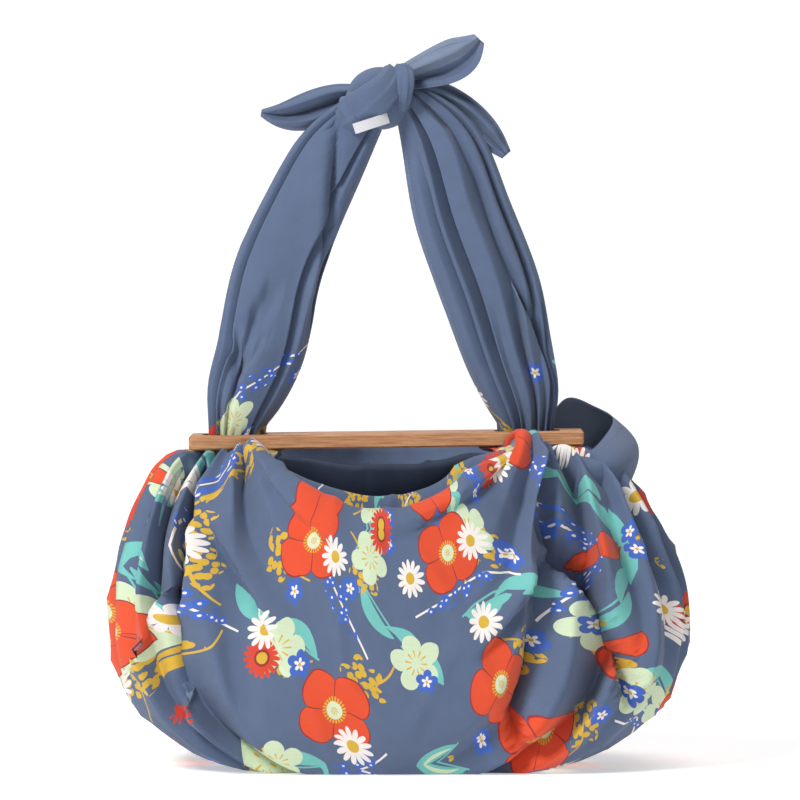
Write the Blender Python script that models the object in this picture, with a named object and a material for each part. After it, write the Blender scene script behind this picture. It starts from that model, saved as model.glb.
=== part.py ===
"""Furoshiki bag: one square of cotton, its corners gathered through the two holes of a
wooden bar and knotted above it as a handle. Standing on its flat base, front towards -Y."""

import math
from collections import namedtuple

import bmesh
import bpy
import numpy as np
from mathutils import Matrix, Vector
from mathutils.bvhtree import BVHTree

MM = 0.001

# Wooden bar, in millimetres like every size below
BAR_LENGTH = 300.0
BAR_DEPTH = 60.0
BAR_THICKNESS = 10.7
BAR_X = -0.4
BAR_Z = 248.0
BAR_TILT = math.radians(0.75)
BAR_ROUNDING = 1.2
HOLE_LENGTH = 50.0
HOLE_WIDTH = 32.0
HOLE_X = {"left": -116.0, "right": 107.0}

# Cloth
CLOTH_THICKNESS = 1.6
ROW_STEP = 25.0
COLUMN_STEP = 12.0
UNDER_BAR_GAP = 0.4
BESIDE_BAR = 4.0

# Across the cloth, from the front hem round the outside to the back hem. Degrees round the
# gather: 0 faces the other gather, -90 the front and -180 the outer side.
LINES = (
    ("front_hem", -8), ("front_inner_ridge", -18), ("front_inner_valley", -29), ("front_rim", -41),
    ("front_panel", -66), ("front", -97), ("front_corner", -138), ("outer", -180),
    ("back_corner", -222), ("back", -263), ("back_panel", -294), ("back_rim", -319),
    ("back_inner_valley", -331), ("back_inner_ridge", -342), ("back_hem", -352),
)
LINE_NAMES = [name for name, _ in LINES]
LINE_ANGLES = np.array([angle for _, angle in LINES], float)
SIDES = {"left": 1.0, "right": -1.0}

# Handle straps, from the knot down to the bar: centre, half-width across and half-depth
StrapRing = namedtuple("StrapRing", "x y z half_width half_depth")
STRAPS = {
    "left": (
        StrapRing(-12, 4, 503, 15, 9),
        StrapRing(-36, 2, 474, 26, 12),
        StrapRing(-64, 0, 423, 31, 15),
        StrapRing(-86, 0, 366, 34, 17),
        StrapRing(-98, 0, 310, 33, 17),
        StrapRing(-112, 0, 272, 26, 15),
    ),
    "right": (
        StrapRing(16, 3, 510, 13, 9),
        StrapRing(37, 1, 481, 28, 12),
        StrapRing(56, 0, 425, 37, 16),
        StrapRing(79, 0, 362, 38, 18),
        StrapRing(95, 0, 306, 33, 17),
        StrapRing(105, 0, 272, 26, 15),
    ),
}
THROAT_HALF_LENGTH = 20.0
THROAT_HALF_WIDTH = 11.0
LIP_HALF_LENGTH = 23.0
LIP_HALF_WIDTH = 15.5
LIP_DROP = 4.0
EAVES_HALF_LENGTH = 37.0
EAVES_HALF_WIDTH = 34.0
EAVES_DROP = 2.2

# The bag at each station from a gather to the middle: where seven of the lines pass, as x, y, z,
# and how much of the full roll the border makes there
Station = namedtuple("Station", "front_rim front_panel front outer back back_panel back_rim roll")
STATIONS = {
    "left": (
        Station((-88, -42, 235), (-104, -49, 250), (-124, -46, 240), (-170, 0, 232),
                (-118, 48, 236), (-106, 48, 238), (-96, 44, 238), 0.15),
        Station((-70, -76, 214), (-92, -88, 196), (-140, -90, 172), (-199, 0, 184),
                (-140, 90, 170), (-92, 88, 200), (-62, 62, 237), 0.7),
        Station((-42, -86, 201), (-66, -106, 140), (-128, -104, 100), (-211, 0, 104),
                (-128, 104, 100), (-62, 104, 150), (-38, 66, 236), 1.0),
        Station((-24, -88, 197), (-44, -114, 100), (-104, -106, 36), (-192, 0, 44),
                (-104, 102, 36), (-44, 108, 120), (-24, 66, 235), 1.0),
        Station((-10, -88, 196), (-20, -116, 84), (-58, -92, 1), (-112, 0, -2),
                (-58, 88, 1), (-20, 108, 105), (-10, 66, 235), 1.0),
    ),
    "middle": (
        Station((4, -88, 195), (4, -116, 80), (6, -90, -4), (6, 0, -6),
                (6, 88, -4), (4, 108, 100), (2, 66, 235), 1.0),
    ),
    "right": (
        Station((90, -42, 238), (104, -50, 258), (122, -48, 248), (172, 0, 228),
                (120, 48, 238), (106, 48, 240), (92, 44, 239), 0.15),
        Station((72, -72, 228), (92, -88, 200), (132, -90, 172), (211, 0, 182),
                (140, 92, 170), (92, 88, 200), (72, 60, 239), 0.7),
        Station((52, -82, 213), (76, -106, 145), (136, -104, 96), (231, 0, 118),
                (136, 104, 96), (76, 104, 150), (48, 64, 238), 1.0),
        Station((34, -86, 202), (54, -114, 100), (112, -106, 36), (208, 0, 46),
                (112, 102, 36), (54, 108, 118), (30, 66, 236), 1.0),
        Station((18, -88, 197), (26, -116, 84), (66, -92, 1), (128, 0, -1),
                (66, 88, 1), (26, 108, 104), (14, 66, 235), 1.0),
    ),
}
CORNER_FULLNESS = 0.76

# How the border is rolled into the mouth, from the rim: inward, upward
ROLLS = {
    "front_rim": {"front_inner_valley": (13, -15), "front_inner_ridge": (25, 12), "front_hem": (34, -24)},
    "back_rim": {"back_inner_valley": (12, -14), "back_inner_ridge": (26, -8), "back_hem": (28, -42)},
}

# Pleats that fan out from a gather: degrees round it, half-width in degrees, depth in the strap,
# in the hole and in the bag, how far up and down from the bar they run, and the lean of the fold
Pleat = namedtuple("Pleat", "angle half_width strap hole bag up down lean")
PLEATS = {
    "left": (
        Pleat(-50, 8, 15, 4, 0, 330, 40, 2),
        Pleat(-72, 9, 0, 1, 9, 10, 150, 5),
        Pleat(-90, 9, 0, 1, 3, 10, 120, 3),
        Pleat(-108, 9, 3, 3, 24, 120, 320, 10),
        Pleat(-126, 9, 2, 3, 17, 100, 300, 8),
        Pleat(-144, 9, 9, 3, 8, 330, 210, -4),
        Pleat(-162, 9, 2, 3, 15, 120, 260, -6),
        Pleat(-180, 9, 5, 2, 6, 260, 190, 3),
        Pleat(-198, 9, 3, 3, 14, 160, 260, 5),
        Pleat(-216, 9, 8, 3, 7, 320, 180, 4),
        Pleat(-234, 9, 3, 3, 15, 180, 280, -5),
        Pleat(-252, 9, 8, 3, 9, 330, 220, 3),
        Pleat(-276, 10, 5, 2, 8, 280, 190, -4),
        Pleat(-302, 9, 6, 2, 4, 240, 130, 0),
    ),
    "right": (
        Pleat(-50, 8, 6, 3, 5, 260, 150, 2),
        Pleat(-72, 9, 14, 4, 7, 340, 170, 4),
        Pleat(-90, 9, 2, 2, 15, 120, 300, -7),
        Pleat(-108, 9, 10, 3, 25, 310, 340, 10),
        Pleat(-126, 9, 3, 3, 9, 140, 240, 4),
        Pleat(-144, 9, 9, 3, 9, 320, 240, 4),
        Pleat(-162, 9, 3, 3, 15, 120, 270, 6),
        Pleat(-180, 9, 6, 2, 5, 260, 180, 3),
        Pleat(-198, 9, 3, 3, 14, 160, 260, 5),
        Pleat(-216, 9, 8, 3, 7, 320, 180, 4),
        Pleat(-234, 9, 3, 3, 15, 180, 280, -5),
        Pleat(-252, 9, 8, 3, 9, 330, 220, 3),
        Pleat(-276, 10, 5, 2, 8, 280, 190, -4),
        Pleat(-302, 9, 6, 2, 4, 240, 130, 0),
    ),
}

# Greatest depth of a pleat against the room it has to one side
PLEAT_STEEPNESS = 1.35

# Knot: a core, the band wrapped slantwise over its front and the small one beside it
KNOT_CENTRE = (-5, 2, 508)
KNOT_RADII = (26, 18, 24)
BandRing = namedtuple("BandRing", "x y z half_width half_depth turn")
KNOT_BANDS = (
    (
        BandRing(-31, 5, 491, 10, 6, 18),
        BandRing(-27, -11, 495, 14, 6, 24),
        BandRing(-16, -20, 502, 14, 6, 36),
        BandRing(-6, -22, 510, 13, 6, 45),
        BandRing(2, -17, 519, 11, 5, 50),
        BandRing(4, -6, 527, 8, 5, 52),
        BandRing(3, 7, 528, 6, 5, 52),
    ),
    (
        BandRing(11, 5, 529, 6, 4, 80),
        BandRing(13, -12, 527, 7, 4, 86),
        BandRing(14, -19, 519, 7, 4, 92),
        BandRing(13, -18, 509, 6, 4, 96),
        BandRing(11, -10, 501, 5, 4, 100),
    ),
)

# Free ends, from the knot to the tip: centre of the end, half-width, depth and number of its folds
TailRing = namedtuple("TailRing", "x y z half_width fold_depth")
Tail = namedtuple("Tail", "folds phase rings")
TAILS = (
    Tail(2.0, 0.0, (
        TailRing(-12, 8, 508, 9, 4),
        TailRing(-38, 8, 506, 13, 6),
        TailRing(-62, 5, 498, 14, 6),
        TailRing(-82, 2, 495, 9, 3),
        TailRing(-96, 1, 497, 2.5, 0.5),
    )),
    Tail(1.5, 0.25, (
        TailRing(6, 4, 521, 8, 4),
        TailRing(32, -2, 530, 14, 6),
        TailRing(48, -6, 536, 16, 5),
        TailRing(61, -8, 544, 13, 3),
        TailRing(70, -8, 553, 5, 1.5),
    )),
    Tail(2.5, 0.0, (
        TailRing(6, 2, 514, 8, 3),
        TailRing(30, 5, 511, 12, 4),
        TailRing(52, 6, 501, 13, 5),
        TailRing(69, 3, 488, 12, 4),
        TailRing(81, 0, 476, 9, 2.5),
        TailRing(91, -2, 465, 4, 1.0),
    )),
)

# Cup of slack cloth that stands up behind the right end of the bar: points down each rib, the first
# rib at the back and the last one under the bar's end
CupRib = namedtuple("CupRib", "rim bulge root")
CUP = (
    CupRib((126, 46, 262), (124, 60, 252), (128, 58, 226)),
    CupRib((138, 52, 277), (138, 66, 262), (140, 62, 228)),
    CupRib((156, 50, 273), (160, 66, 256), (158, 58, 222)),
    CupRib((172, 36, 265), (184, 46, 250), (178, 40, 218)),
    CupRib((172, 12, 258), (191, 12, 244), (184, 10, 212)),
    CupRib((164, -10, 248), (180, -26, 238), (176, -24, 208)),
    CupRib((154, -24, 240), (162, -42, 231), (158, -38, 205)),
    CupRib((142, -36, 236), (144, -47, 229), (140, -42, 205)),
)

# Blank woven label sewn under the band of the knot
LABEL_LENGTH = 27.0
LABEL_HEIGHT = 8.0
LABEL_THICKNESS = 0.8
LABEL_GAP = 0.35
LABEL_CENTRE = (-12.0, 488.5)
LABEL_TURN = math.radians(18)


def spline(knots, points, at):
    """A natural cubic spline through points, one for each knot, read at the values in at."""
    knots = np.asarray(knots, float)
    points = np.asarray(points, float)
    at = np.asarray(at, float)
    count = len(knots)
    step = np.diff(knots)
    shape = (-1,) + (1,) * (points.ndim - 1)
    slope = np.diff(points, axis=0) / step.reshape(shape)
    system = np.eye(count)
    right = np.zeros_like(points)
    for i in range(1, count - 1):
        system[i, i - 1:i + 2] = step[i - 1], 2 * (step[i - 1] + step[i]), step[i]
        right[i] = 6 * (slope[i] - slope[i - 1])
    curve = np.linalg.solve(system, right.reshape(count, -1)).reshape(points.shape)
    i = np.clip(np.searchsorted(knots, at, side="right") - 1, 0, count - 2)
    h = step[i].reshape(shape)
    a = (knots[i + 1] - at).reshape(shape) / h
    b = 1 - a
    bend = ((a ** 3 - a) * curve[i] + (b ** 3 - b) * curve[i + 1]) * h ** 2 / 6
    return a * points[i] + b * points[i + 1] + bend


def mean_knots(net, axis):
    """Knots along an axis of a net of points, spaced by the mean distance between neighbours."""
    gaps = np.linalg.norm(np.diff(net, axis=axis), axis=-1).mean(axis=1 - axis)
    return np.concatenate([[0], np.cumsum(gaps)])


def along(path, count):
    """A path of table rows smoothed to count rows, evenly spaced by the distance between them."""
    rows = np.array(path, float)
    knots = np.concatenate([[0], np.cumsum(np.linalg.norm(np.diff(rows[:, :3], axis=0), axis=1))])
    return spline(knots, rows, np.linspace(0, knots[-1], count))


def bar_height(x):
    """Height of the middle of the tilted bar at x."""
    return BAR_Z + (x - BAR_X) * math.tan(BAR_TILT)


def strap_row(side, ring, direction):
    """A row of the net round a strap, square to the direction in which the strap runs."""
    across = np.array([-direction[2], 0, direction[0]])
    across = across / np.linalg.norm(across) * np.sign(-direction[2])
    angle = np.radians(LINE_ANGLES)[:, None]
    centre = np.array([ring.x, ring.y, ring.z], float)
    return (centre + SIDES[side] * np.cos(angle) * ring.half_width * across
            + np.sin(angle) * ring.half_depth * np.array([0, 1, 0]))


def station_row(station, side):
    """A row of the net round the bag, from the seven lines of a station."""
    at = {name: np.array(getattr(station, name), float)
          for name in Station._fields if name != "roll"}
    for face in ("front", "back"):
        edge, outer = at[face], at["outer"]
        middle = np.array([edge[0], 0, (edge[2] + outer[2]) / 2])
        at[f"{face}_corner"] = middle + CORNER_FULLNESS * (edge + outer - 2 * middle)
        inward = 1 if face == "front" else -1
        for name, (deep, up) in ROLLS[f"{face}_rim"].items():
            at[name] = at[f"{face}_rim"] + station.roll * np.array([0, inward * deep, up])
    return np.array([at[name] for name in LINE_NAMES])


def gather_rows(side):
    """The rows of the net from the top of a strap, through the bar, to the last side station."""
    rings = list(STRAPS[side])
    hole = HOLE_X[side]
    middle = bar_height(hole)
    rings.append(StrapRing(hole, 0, middle, THROAT_HALF_LENGTH, THROAT_HALF_WIDTH))
    under = middle - BAR_THICKNESS / 2
    rings.append(StrapRing(hole, 0, under - LIP_DROP, LIP_HALF_LENGTH, LIP_HALF_WIDTH))
    rings.append(StrapRing(hole, 0, under - EAVES_DROP, EAVES_HALF_LENGTH, EAVES_HALF_WIDTH))
    centres = np.array([ring[:3] for ring in rings], float)
    directions = np.gradient(centres, axis=0)
    directions[-3:] = 0, 0, -1
    rows = [strap_row(side, ring, direction) for ring, direction in zip(rings, directions)]
    rows += [station_row(station, side) for station in STATIONS[side]]
    return rows


def control_net():
    """The net of points that the cloth is drawn over, from the left strap to the right one."""
    left, right = gather_rows("left"), gather_rows("right")
    middle = [station_row(station, "left") for station in STATIONS["middle"]]
    return np.array(left + middle + right[::-1])


def normals_of(grid):
    """Unit normals of a grid of points, facing out of the bag."""
    normal = np.cross(np.gradient(grid, axis=1), np.gradient(grid, axis=0))
    return normal / np.maximum(np.linalg.norm(normal, axis=-1, keepdims=True), 1e-9)


def smooth_interp(at, knots, values):
    """Values between knots, with a soft start and end to every step."""
    i = np.clip(np.searchsorted(knots, at, side="right") - 1, 0, len(knots) - 2)
    t = np.clip((at - np.take(knots, i)) / (np.take(knots, i + 1) - np.take(knots, i)), 0, 1)
    t = t * t * (3 - 2 * t)
    return np.take(values, i) * (1 - t) + np.take(values, i + 1) * t


def pleat_shift(grid, u, v, u_bars, v_knots):
    """Depth of the pleats at each point of the cloth, and how far they lean across it."""
    depth = np.zeros((len(u), len(v)))
    lean = np.zeros((len(u), len(v)))
    spread = np.linalg.norm(np.gradient(grid, v, axis=1), axis=-1)
    for side, pleats in PLEATS.items():
        away = (u - u_bars[side]) * SIDES[side]
        for pleat in pleats:
            run = smooth_interp(
                away,
                [-pleat.up, -pleat.up * 0.5, -30, 0, min(90, pleat.down / 2), pleat.down],
                [0, pleat.strap, pleat.strap * 0.8, pleat.hole, pleat.bag, 0],
            )
            reach = pleat.half_width
            start, at, end = np.interp([-pleat.angle - reach, -pleat.angle, -pleat.angle + reach],
                                       -LINE_ANGLES, v_knots)
            room = spread[:, np.argmin(np.abs(v - at))] * (end - start) / 2
            run = np.minimum(run, PLEAT_STEEPNESS * room)
            shape = np.clip(1 - np.abs(v - at) / np.where(v < at, at - start, end - at), 0, 1)
            shape = shape * shape * (3 - 2 * shape)
            depth += run[:, None] * shape[None, :]
            sideways = np.clip(run * pleat.lean / max(pleat.strap, pleat.bag), -room / 2, room / 2)
            lean += sideways[:, None] * shape[None, :]
    return depth, lean


def clear_of_bar(grid, half):
    """The grid with its points moved out of the bar, below it or in front of and behind it."""
    out = grid.copy()
    x, y, z = out[..., 0], out[..., 1], out[..., 2]
    middle = bar_height(x)
    under = middle - BAR_THICKNESS / 2 - UNDER_BAR_GAP - half
    beside = BAR_DEPTH / 2 + BESIDE_BAR + half
    near = np.abs(x - BAR_X) < BAR_LENGTH / 2 + BESIDE_BAR + half
    in_hole = np.zeros(x.shape, bool)
    for hole in HOLE_X.values():
        in_hole |= (np.abs(x - hole) < THROAT_HALF_LENGTH + 1) & (np.abs(y) < THROAT_HALF_WIDTH + 1)
    level = near & ~in_hole & (z > under) & (z < middle + BAR_THICKNESS / 2 + BESIDE_BAR)
    below = level & (np.abs(y) < BAR_DEPTH / 2 + 1)
    z[below] = under[below]
    side = level & ~below & (np.abs(y) < beside)
    y[side] = np.sign(y[side]) * beside
    return out


def divided(knots, step):
    """The knots with even steps of about the given length between them."""
    parts = [np.linspace(a, b, max(1, round((b - a) / step)), endpoint=False)
             for a, b in zip(knots, knots[1:])]
    return np.append(np.concatenate(parts), knots[-1])


def column_knots(v_knots):
    """Where the cloth has its main lines and pleats, across it."""
    angles = [angle for angle in LINE_ANGLES if abs(angle + 180) > 130]
    for pleat in PLEATS["left"]:
        angles += [pleat.angle, pleat.angle - pleat.half_width]
    angles = sorted(set(-angle for angle in angles))
    kept = [a for a, b in zip(angles, angles[1:]) if b - a > 3] + [angles[-1]]
    return np.interp(kept, -LINE_ANGLES, v_knots)


def cloth_grid(row_step, column_step):
    """Points of the middle of the cloth, in rows from strap to strap."""
    net = control_net()
    u_knots, v_knots = mean_knots(net, 0), mean_knots(net, 1)
    u = divided(u_knots, row_step)
    v = divided(column_knots(v_knots), column_step)
    grid = spline(v_knots, spline(u_knots, net, u).swapaxes(0, 1), v).swapaxes(0, 1)
    at_hole = len(STRAPS["left"])
    u_bars = {"left": u_knots[at_hole], "right": u_knots[-1 - at_hole]}
    depth, lean = pleat_shift(grid, u, v, u_bars, v_knots)
    across = np.gradient(grid, axis=1)
    across /= np.maximum(np.linalg.norm(across, axis=-1, keepdims=True), 1e-9)
    grid = grid - normals_of(grid) * depth[..., None] + across * lean[..., None]
    grid = clear_of_bar(grid, CLOTH_THICKNESS / 2)
    grid[..., 2] = np.maximum(grid[..., 2], CLOTH_THICKNESS / 2)
    return grid


def sheet_mesh(grid, thickness):
    """Vertices and faces of a grid made into a closed sheet of a thickness."""
    rows, columns = grid.shape[:2]
    normal = normals_of(grid) * thickness / 2
    points = np.concatenate([(grid + normal).reshape(-1, 3), (grid - normal).reshape(-1, 3)])
    points[:, 2] = np.maximum(points[:, 2], 0)
    under = rows * columns

    def at(i, j, layer=0):
        return i * columns + j + layer * under

    faces = []
    for i in range(rows - 1):
        for j in range(columns - 1):
            quad = (at(i, j), at(i, j + 1), at(i + 1, j + 1), at(i + 1, j))
            faces.append(quad)
            faces.append(tuple(k + under for k in reversed(quad)))
    edge = ([(i, 0) for i in range(rows)] + [(rows - 1, j) for j in range(1, columns)]
            + [(i, columns - 1) for i in range(rows - 2, -1, -1)] + [(0, j) for j in range(columns - 2, 0, -1)])
    for (a, b), (c, d) in zip(edge, edge[1:] + edge[:1]):
        faces.append((at(a, b), at(c, d), at(c, d, 1), at(a, b, 1)))
    return points, faces


def new_object(name, points, faces):
    """A mesh object from points in millimetres, its faces turned outwards."""
    mesh = bpy.data.meshes.new(name)
    mesh.from_pydata([tuple(point) for point in np.asarray(points) * MM], [], faces)
    shell = bmesh.new()
    shell.from_mesh(mesh)
    bmesh.ops.triangulate(shell, faces=shell.faces)
    bmesh.ops.recalc_face_normals(shell, faces=shell.faces)
    shell.to_mesh(mesh)
    shell.free()
    for polygon in mesh.polygons:
        polygon.use_smooth = True
    obj = bpy.data.objects.new(name, mesh)
    bpy.context.scene.collection.objects.link(obj)
    return obj


def tube_mesh(rings):
    """Vertices and faces of a closed tube through rings of points."""
    rings = np.asarray(rings)
    count, around = rings.shape[:2]
    points = rings.reshape(-1, 3)
    faces = [tuple(range(around - 1, -1, -1)), tuple(range((count - 1) * around, count * around))]
    for i in range(count - 1):
        for j in range(around):
            k = (j + 1) % around
            faces.append((i * around + j, i * around + k, (i + 1) * around + k, (i + 1) * around + j))
    return points, faces


def band_mesh(path, count=8, around=10):
    """A flat, full band of cloth along a path of the knot."""
    rows = along(path, count)
    tangent = np.gradient(rows[:, :3], axis=0)
    tangent /= np.linalg.norm(tangent, axis=1, keepdims=True)
    turn = np.radians(rows[:, 5])
    wide = np.stack([-np.sin(turn), 0 * turn, np.cos(turn)], axis=1)
    wide -= tangent * (wide * tangent).sum(axis=1, keepdims=True)
    wide /= np.linalg.norm(wide, axis=1, keepdims=True)
    deep = np.cross(tangent, wide)
    angle = np.linspace(0, 2 * np.pi, around, endpoint=False)
    rings = [row[:3] + np.outer(np.cos(angle) * row[3], w) + np.outer(np.sin(angle) * row[4], d)
             for row, w, d in zip(rows, wide, deep)]
    return tube_mesh(rings)


def tail_grid(tail, rows, columns):
    """Points of a free end: folds that run along it, spread in the middle and drawn to a tip."""
    path = along(tail.rings, rows)
    tangent = np.gradient(path[:, :3], axis=0)
    across = np.stack([-tangent[:, 2], 0 * tangent[:, 1], tangent[:, 0]], axis=1)
    across /= np.linalg.norm(across, axis=1, keepdims=True)
    t = np.linspace(-1, 1, columns)
    fold = np.cos(2 * np.pi * (t * tail.folds / 2 + tail.phase))
    return (path[:, None, :3] + across[:, None] * (t[None, :] * path[:, 3:4])[..., None]
            + np.array([0, 1.0, 0]) * (fold[None, :] * path[:, 4:5])[..., None])


def cup_grid(rows, columns):
    """Points of the slack cloth that stands up behind the right end of the bar as an open cup."""
    ribs = np.array(CUP, float)
    down, round_rim = mean_knots(ribs, 1), mean_knots(ribs, 0)
    grid = spline(round_rim, ribs, np.linspace(0, round_rim[-1], rows)).swapaxes(0, 1)
    return spline(down, grid, np.linspace(0, down[-1], columns)).swapaxes(0, 1)


def knot_core(rings=7, around=12):
    """The packed cloth in the middle of the knot."""
    levels = np.linspace(0.06, 0.94, rings) * np.pi
    angle = np.linspace(0, 2 * np.pi, around, endpoint=False)
    shape = [[(np.sin(level) * np.cos(a), np.sin(level) * np.sin(a), np.cos(level)) for a in angle]
             for level in levels]
    return tube_mesh(np.array(KNOT_CENTRE) + np.array(shape) * np.array(KNOT_RADII))


def join(target, part):
    """Unite a part with the target and drop it."""
    modifier = target.modifiers.new("join", "BOOLEAN")
    modifier.operation = "UNION"
    modifier.solver = "EXACT"
    modifier.object = part
    shape = bpy.data.meshes.new_from_object(
        target.evaluated_get(bpy.context.evaluated_depsgraph_get()))
    target.modifiers.clear()
    target.data = shape
    bpy.data.objects.remove(part, do_unlink=True)


def fill_hollows(obj):
    """Keep the largest connected shell: the others are hollows shut inside the knot."""
    shell = bmesh.new()
    shell.from_mesh(obj.data)
    shell.verts.ensure_lookup_table()
    pieces, seen = [], set()
    for start in shell.verts:
        if start in seen:
            continue
        piece, waiting = {start}, [start]
        while waiting:
            for edge in waiting.pop().link_edges:
                fresh = set(edge.verts) - piece
                piece |= fresh
                waiting += fresh
        seen |= piece
        pieces.append(piece)
    kept = max(pieces, key=len)
    bmesh.ops.delete(shell, geom=[vert for vert in shell.verts if vert not in kept], context="VERTS")
    shell.to_mesh(obj.data)
    shell.free()


def make_cloth():
    cloth = new_object("cloth", *sheet_mesh(cloth_grid(ROW_STEP, COLUMN_STEP), CLOTH_THICKNESS))
    join(cloth, new_object("core", *knot_core()))
    for band in KNOT_BANDS:
        join(cloth, new_object("band", *band_mesh(band)))
    for tail in TAILS:
        join(cloth, new_object("tail", *sheet_mesh(tail_grid(tail, 8, 11), CLOTH_THICKNESS)))
    join(cloth, new_object("cup", *sheet_mesh(cup_grid(17, 6), CLOTH_THICKNESS)))
    fill_hollows(cloth)
    return cloth


def rounded_outline(length, width, radius, steps=5):
    """Corners of a rounded rectangle about the origin."""
    outline = []
    for corner, (sx, sy) in enumerate(((1, 1), (-1, 1), (-1, -1), (1, -1))):
        for step in range(steps + 1):
            angle = math.pi / 2 * (corner + step / steps)
            outline.append((sx * (length / 2 - radius) + radius * math.cos(angle),
                            sy * (width / 2 - radius) + radius * math.sin(angle)))
    return outline


def prism_mesh(outline, x, low, high):
    rings = [[(px + x, py, z) for px, py in outline] for z in (low, high)]
    return tube_mesh(rings)


def make_bar():
    half = BAR_THICKNESS / 2
    plan = rounded_outline(BAR_LENGTH, BAR_DEPTH, 2.5, 3)
    inset = rounded_outline(BAR_LENGTH - 2 * BAR_ROUNDING, BAR_DEPTH - 2 * BAR_ROUNDING, 1.8, 3)
    rings = [[(x, y, z) for x, y in outline] for outline, z in (
        (inset, -half), (plan, -half + BAR_ROUNDING), (plan, half - BAR_ROUNDING), (inset, half))]
    bar = new_object("bar", *tube_mesh(rings))
    slot = rounded_outline(HOLE_LENGTH, HOLE_WIDTH, 9)
    for hole in HOLE_X.values():
        cutter = new_object("cutter", *prism_mesh(slot, hole - BAR_X, -BAR_THICKNESS, BAR_THICKNESS))
        modifier = bar.modifiers.new("hole", "BOOLEAN")
        modifier.operation = "DIFFERENCE"
        modifier.solver = "EXACT"
        modifier.object = cutter
        shape = bpy.data.meshes.new_from_object(
            bar.evaluated_get(bpy.context.evaluated_depsgraph_get()))
        bar.modifiers.clear()
        bar.data = shape
        bpy.data.objects.remove(cutter, do_unlink=True)
    place = Matrix.Translation(Vector((BAR_X, 0, BAR_Z)) * MM) @ Matrix.Rotation(-BAR_TILT, 4, "Y")
    bar.data.transform(place)
    for polygon in bar.data.polygons:
        polygon.use_smooth = False
    return bar


def label_places(columns, rows):
    """Where an even grid of the label's points lies, along the label and as x and z."""
    s, t = np.meshgrid(np.linspace(-0.5, 0.5, columns), np.linspace(-0.5, 0.5, rows))
    x = LABEL_CENTRE[0] + s * LABEL_LENGTH * math.cos(LABEL_TURN) - t * LABEL_HEIGHT * math.sin(LABEL_TURN)
    z = LABEL_CENTRE[1] + s * LABEL_LENGTH * math.sin(LABEL_TURN) + t * LABEL_HEIGHT * math.cos(LABEL_TURN)
    return s, x, z


def make_label(cloth):
    """A thin tab laid on the front of the knot, at the lower edge of its band."""
    tree = BVHTree.FromObject(cloth, bpy.context.evaluated_depsgraph_get())
    seen = []
    for along_label, x, z in zip(*(values.ravel() for values in label_places(55, 17))):
        hit = tree.ray_cast(Vector((x, -200, z)) * MM, Vector((0, 1, 0)))[0]
        if hit is not None and hit.y < 0:
            seen.append((along_label, hit.y / MM))
    place, front = np.array(seen).T
    bend = np.polyfit(place, front, 2)
    bend[2] += (front - np.polyval(bend, place)).min() - LABEL_GAP - LABEL_THICKNESS / 2
    s, x, z = label_places(8, 4)
    grid = np.stack([x, np.polyval(bend, s), z], axis=-1)
    return new_object("label", *sheet_mesh(grid, LABEL_THICKNESS))


def dress(obj, name, colour, roughness):
    material = bpy.data.materials.new(name)
    material.use_nodes = True
    shader = material.node_tree.nodes["Principled BSDF"]
    shader.inputs["Base Color"].default_value = (*colour, 1)
    shader.inputs["Roughness"].default_value = roughness
    obj.data.materials.clear()
    obj.data.materials.append(material)


def main():
    for obj in list(bpy.data.objects):
        bpy.data.objects.remove(obj, do_unlink=True)
    cloth = make_cloth()
    dress(cloth, "fabric", (0.10, 0.15, 0.28), 0.85)
    dress(make_bar(), "wood", (0.43, 0.19, 0.08), 0.55)
    dress(make_label(cloth), "label_fabric", (0.85, 0.85, 0.83), 0.8)


main()
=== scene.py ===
"""Furoshiki bag: the look of a printed cotton square tied on a wooden bar, built on its frame."""

import math
from collections import namedtuple

import bmesh
import bpy
import numpy as np
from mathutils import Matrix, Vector, noise


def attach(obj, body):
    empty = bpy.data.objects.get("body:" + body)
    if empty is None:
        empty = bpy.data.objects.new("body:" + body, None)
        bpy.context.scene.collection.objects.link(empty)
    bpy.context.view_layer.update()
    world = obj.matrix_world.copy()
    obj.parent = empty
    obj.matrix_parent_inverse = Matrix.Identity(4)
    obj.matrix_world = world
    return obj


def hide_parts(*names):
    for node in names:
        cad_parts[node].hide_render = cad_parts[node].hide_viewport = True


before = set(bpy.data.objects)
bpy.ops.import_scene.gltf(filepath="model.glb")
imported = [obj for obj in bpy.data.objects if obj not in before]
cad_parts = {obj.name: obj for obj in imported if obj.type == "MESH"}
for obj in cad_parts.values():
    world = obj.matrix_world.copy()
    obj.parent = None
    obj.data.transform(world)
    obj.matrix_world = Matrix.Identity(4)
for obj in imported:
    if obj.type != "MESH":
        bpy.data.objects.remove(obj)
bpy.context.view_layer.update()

bl_info = {
    "name": "Furoshiki Bag",
    "version": (1, 0, 0),
    "blender": (4, 5, 0),
    "location": "View3D > Sidebar > Furoshiki",
    "description": "Builds a tied cotton wrap with a wooden bar, and its stage",
    "category": "Add Mesh",
}

MM = 0.001

# Bar, in millimetres like every size in these tables
BAR_LENGTH = 300.0
BAR_DEPTH = 60.0
BAR_THICKNESS = 10.7
BAR_X = -2.7
BAR_Z = 248.0
BAR_TILT = math.radians(0.75)
HOLE_X = {"left": -116.0, "right": 107.0}

UNDER_BAR_GAP = 0.4
BESIDE_BAR = 4.0

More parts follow.
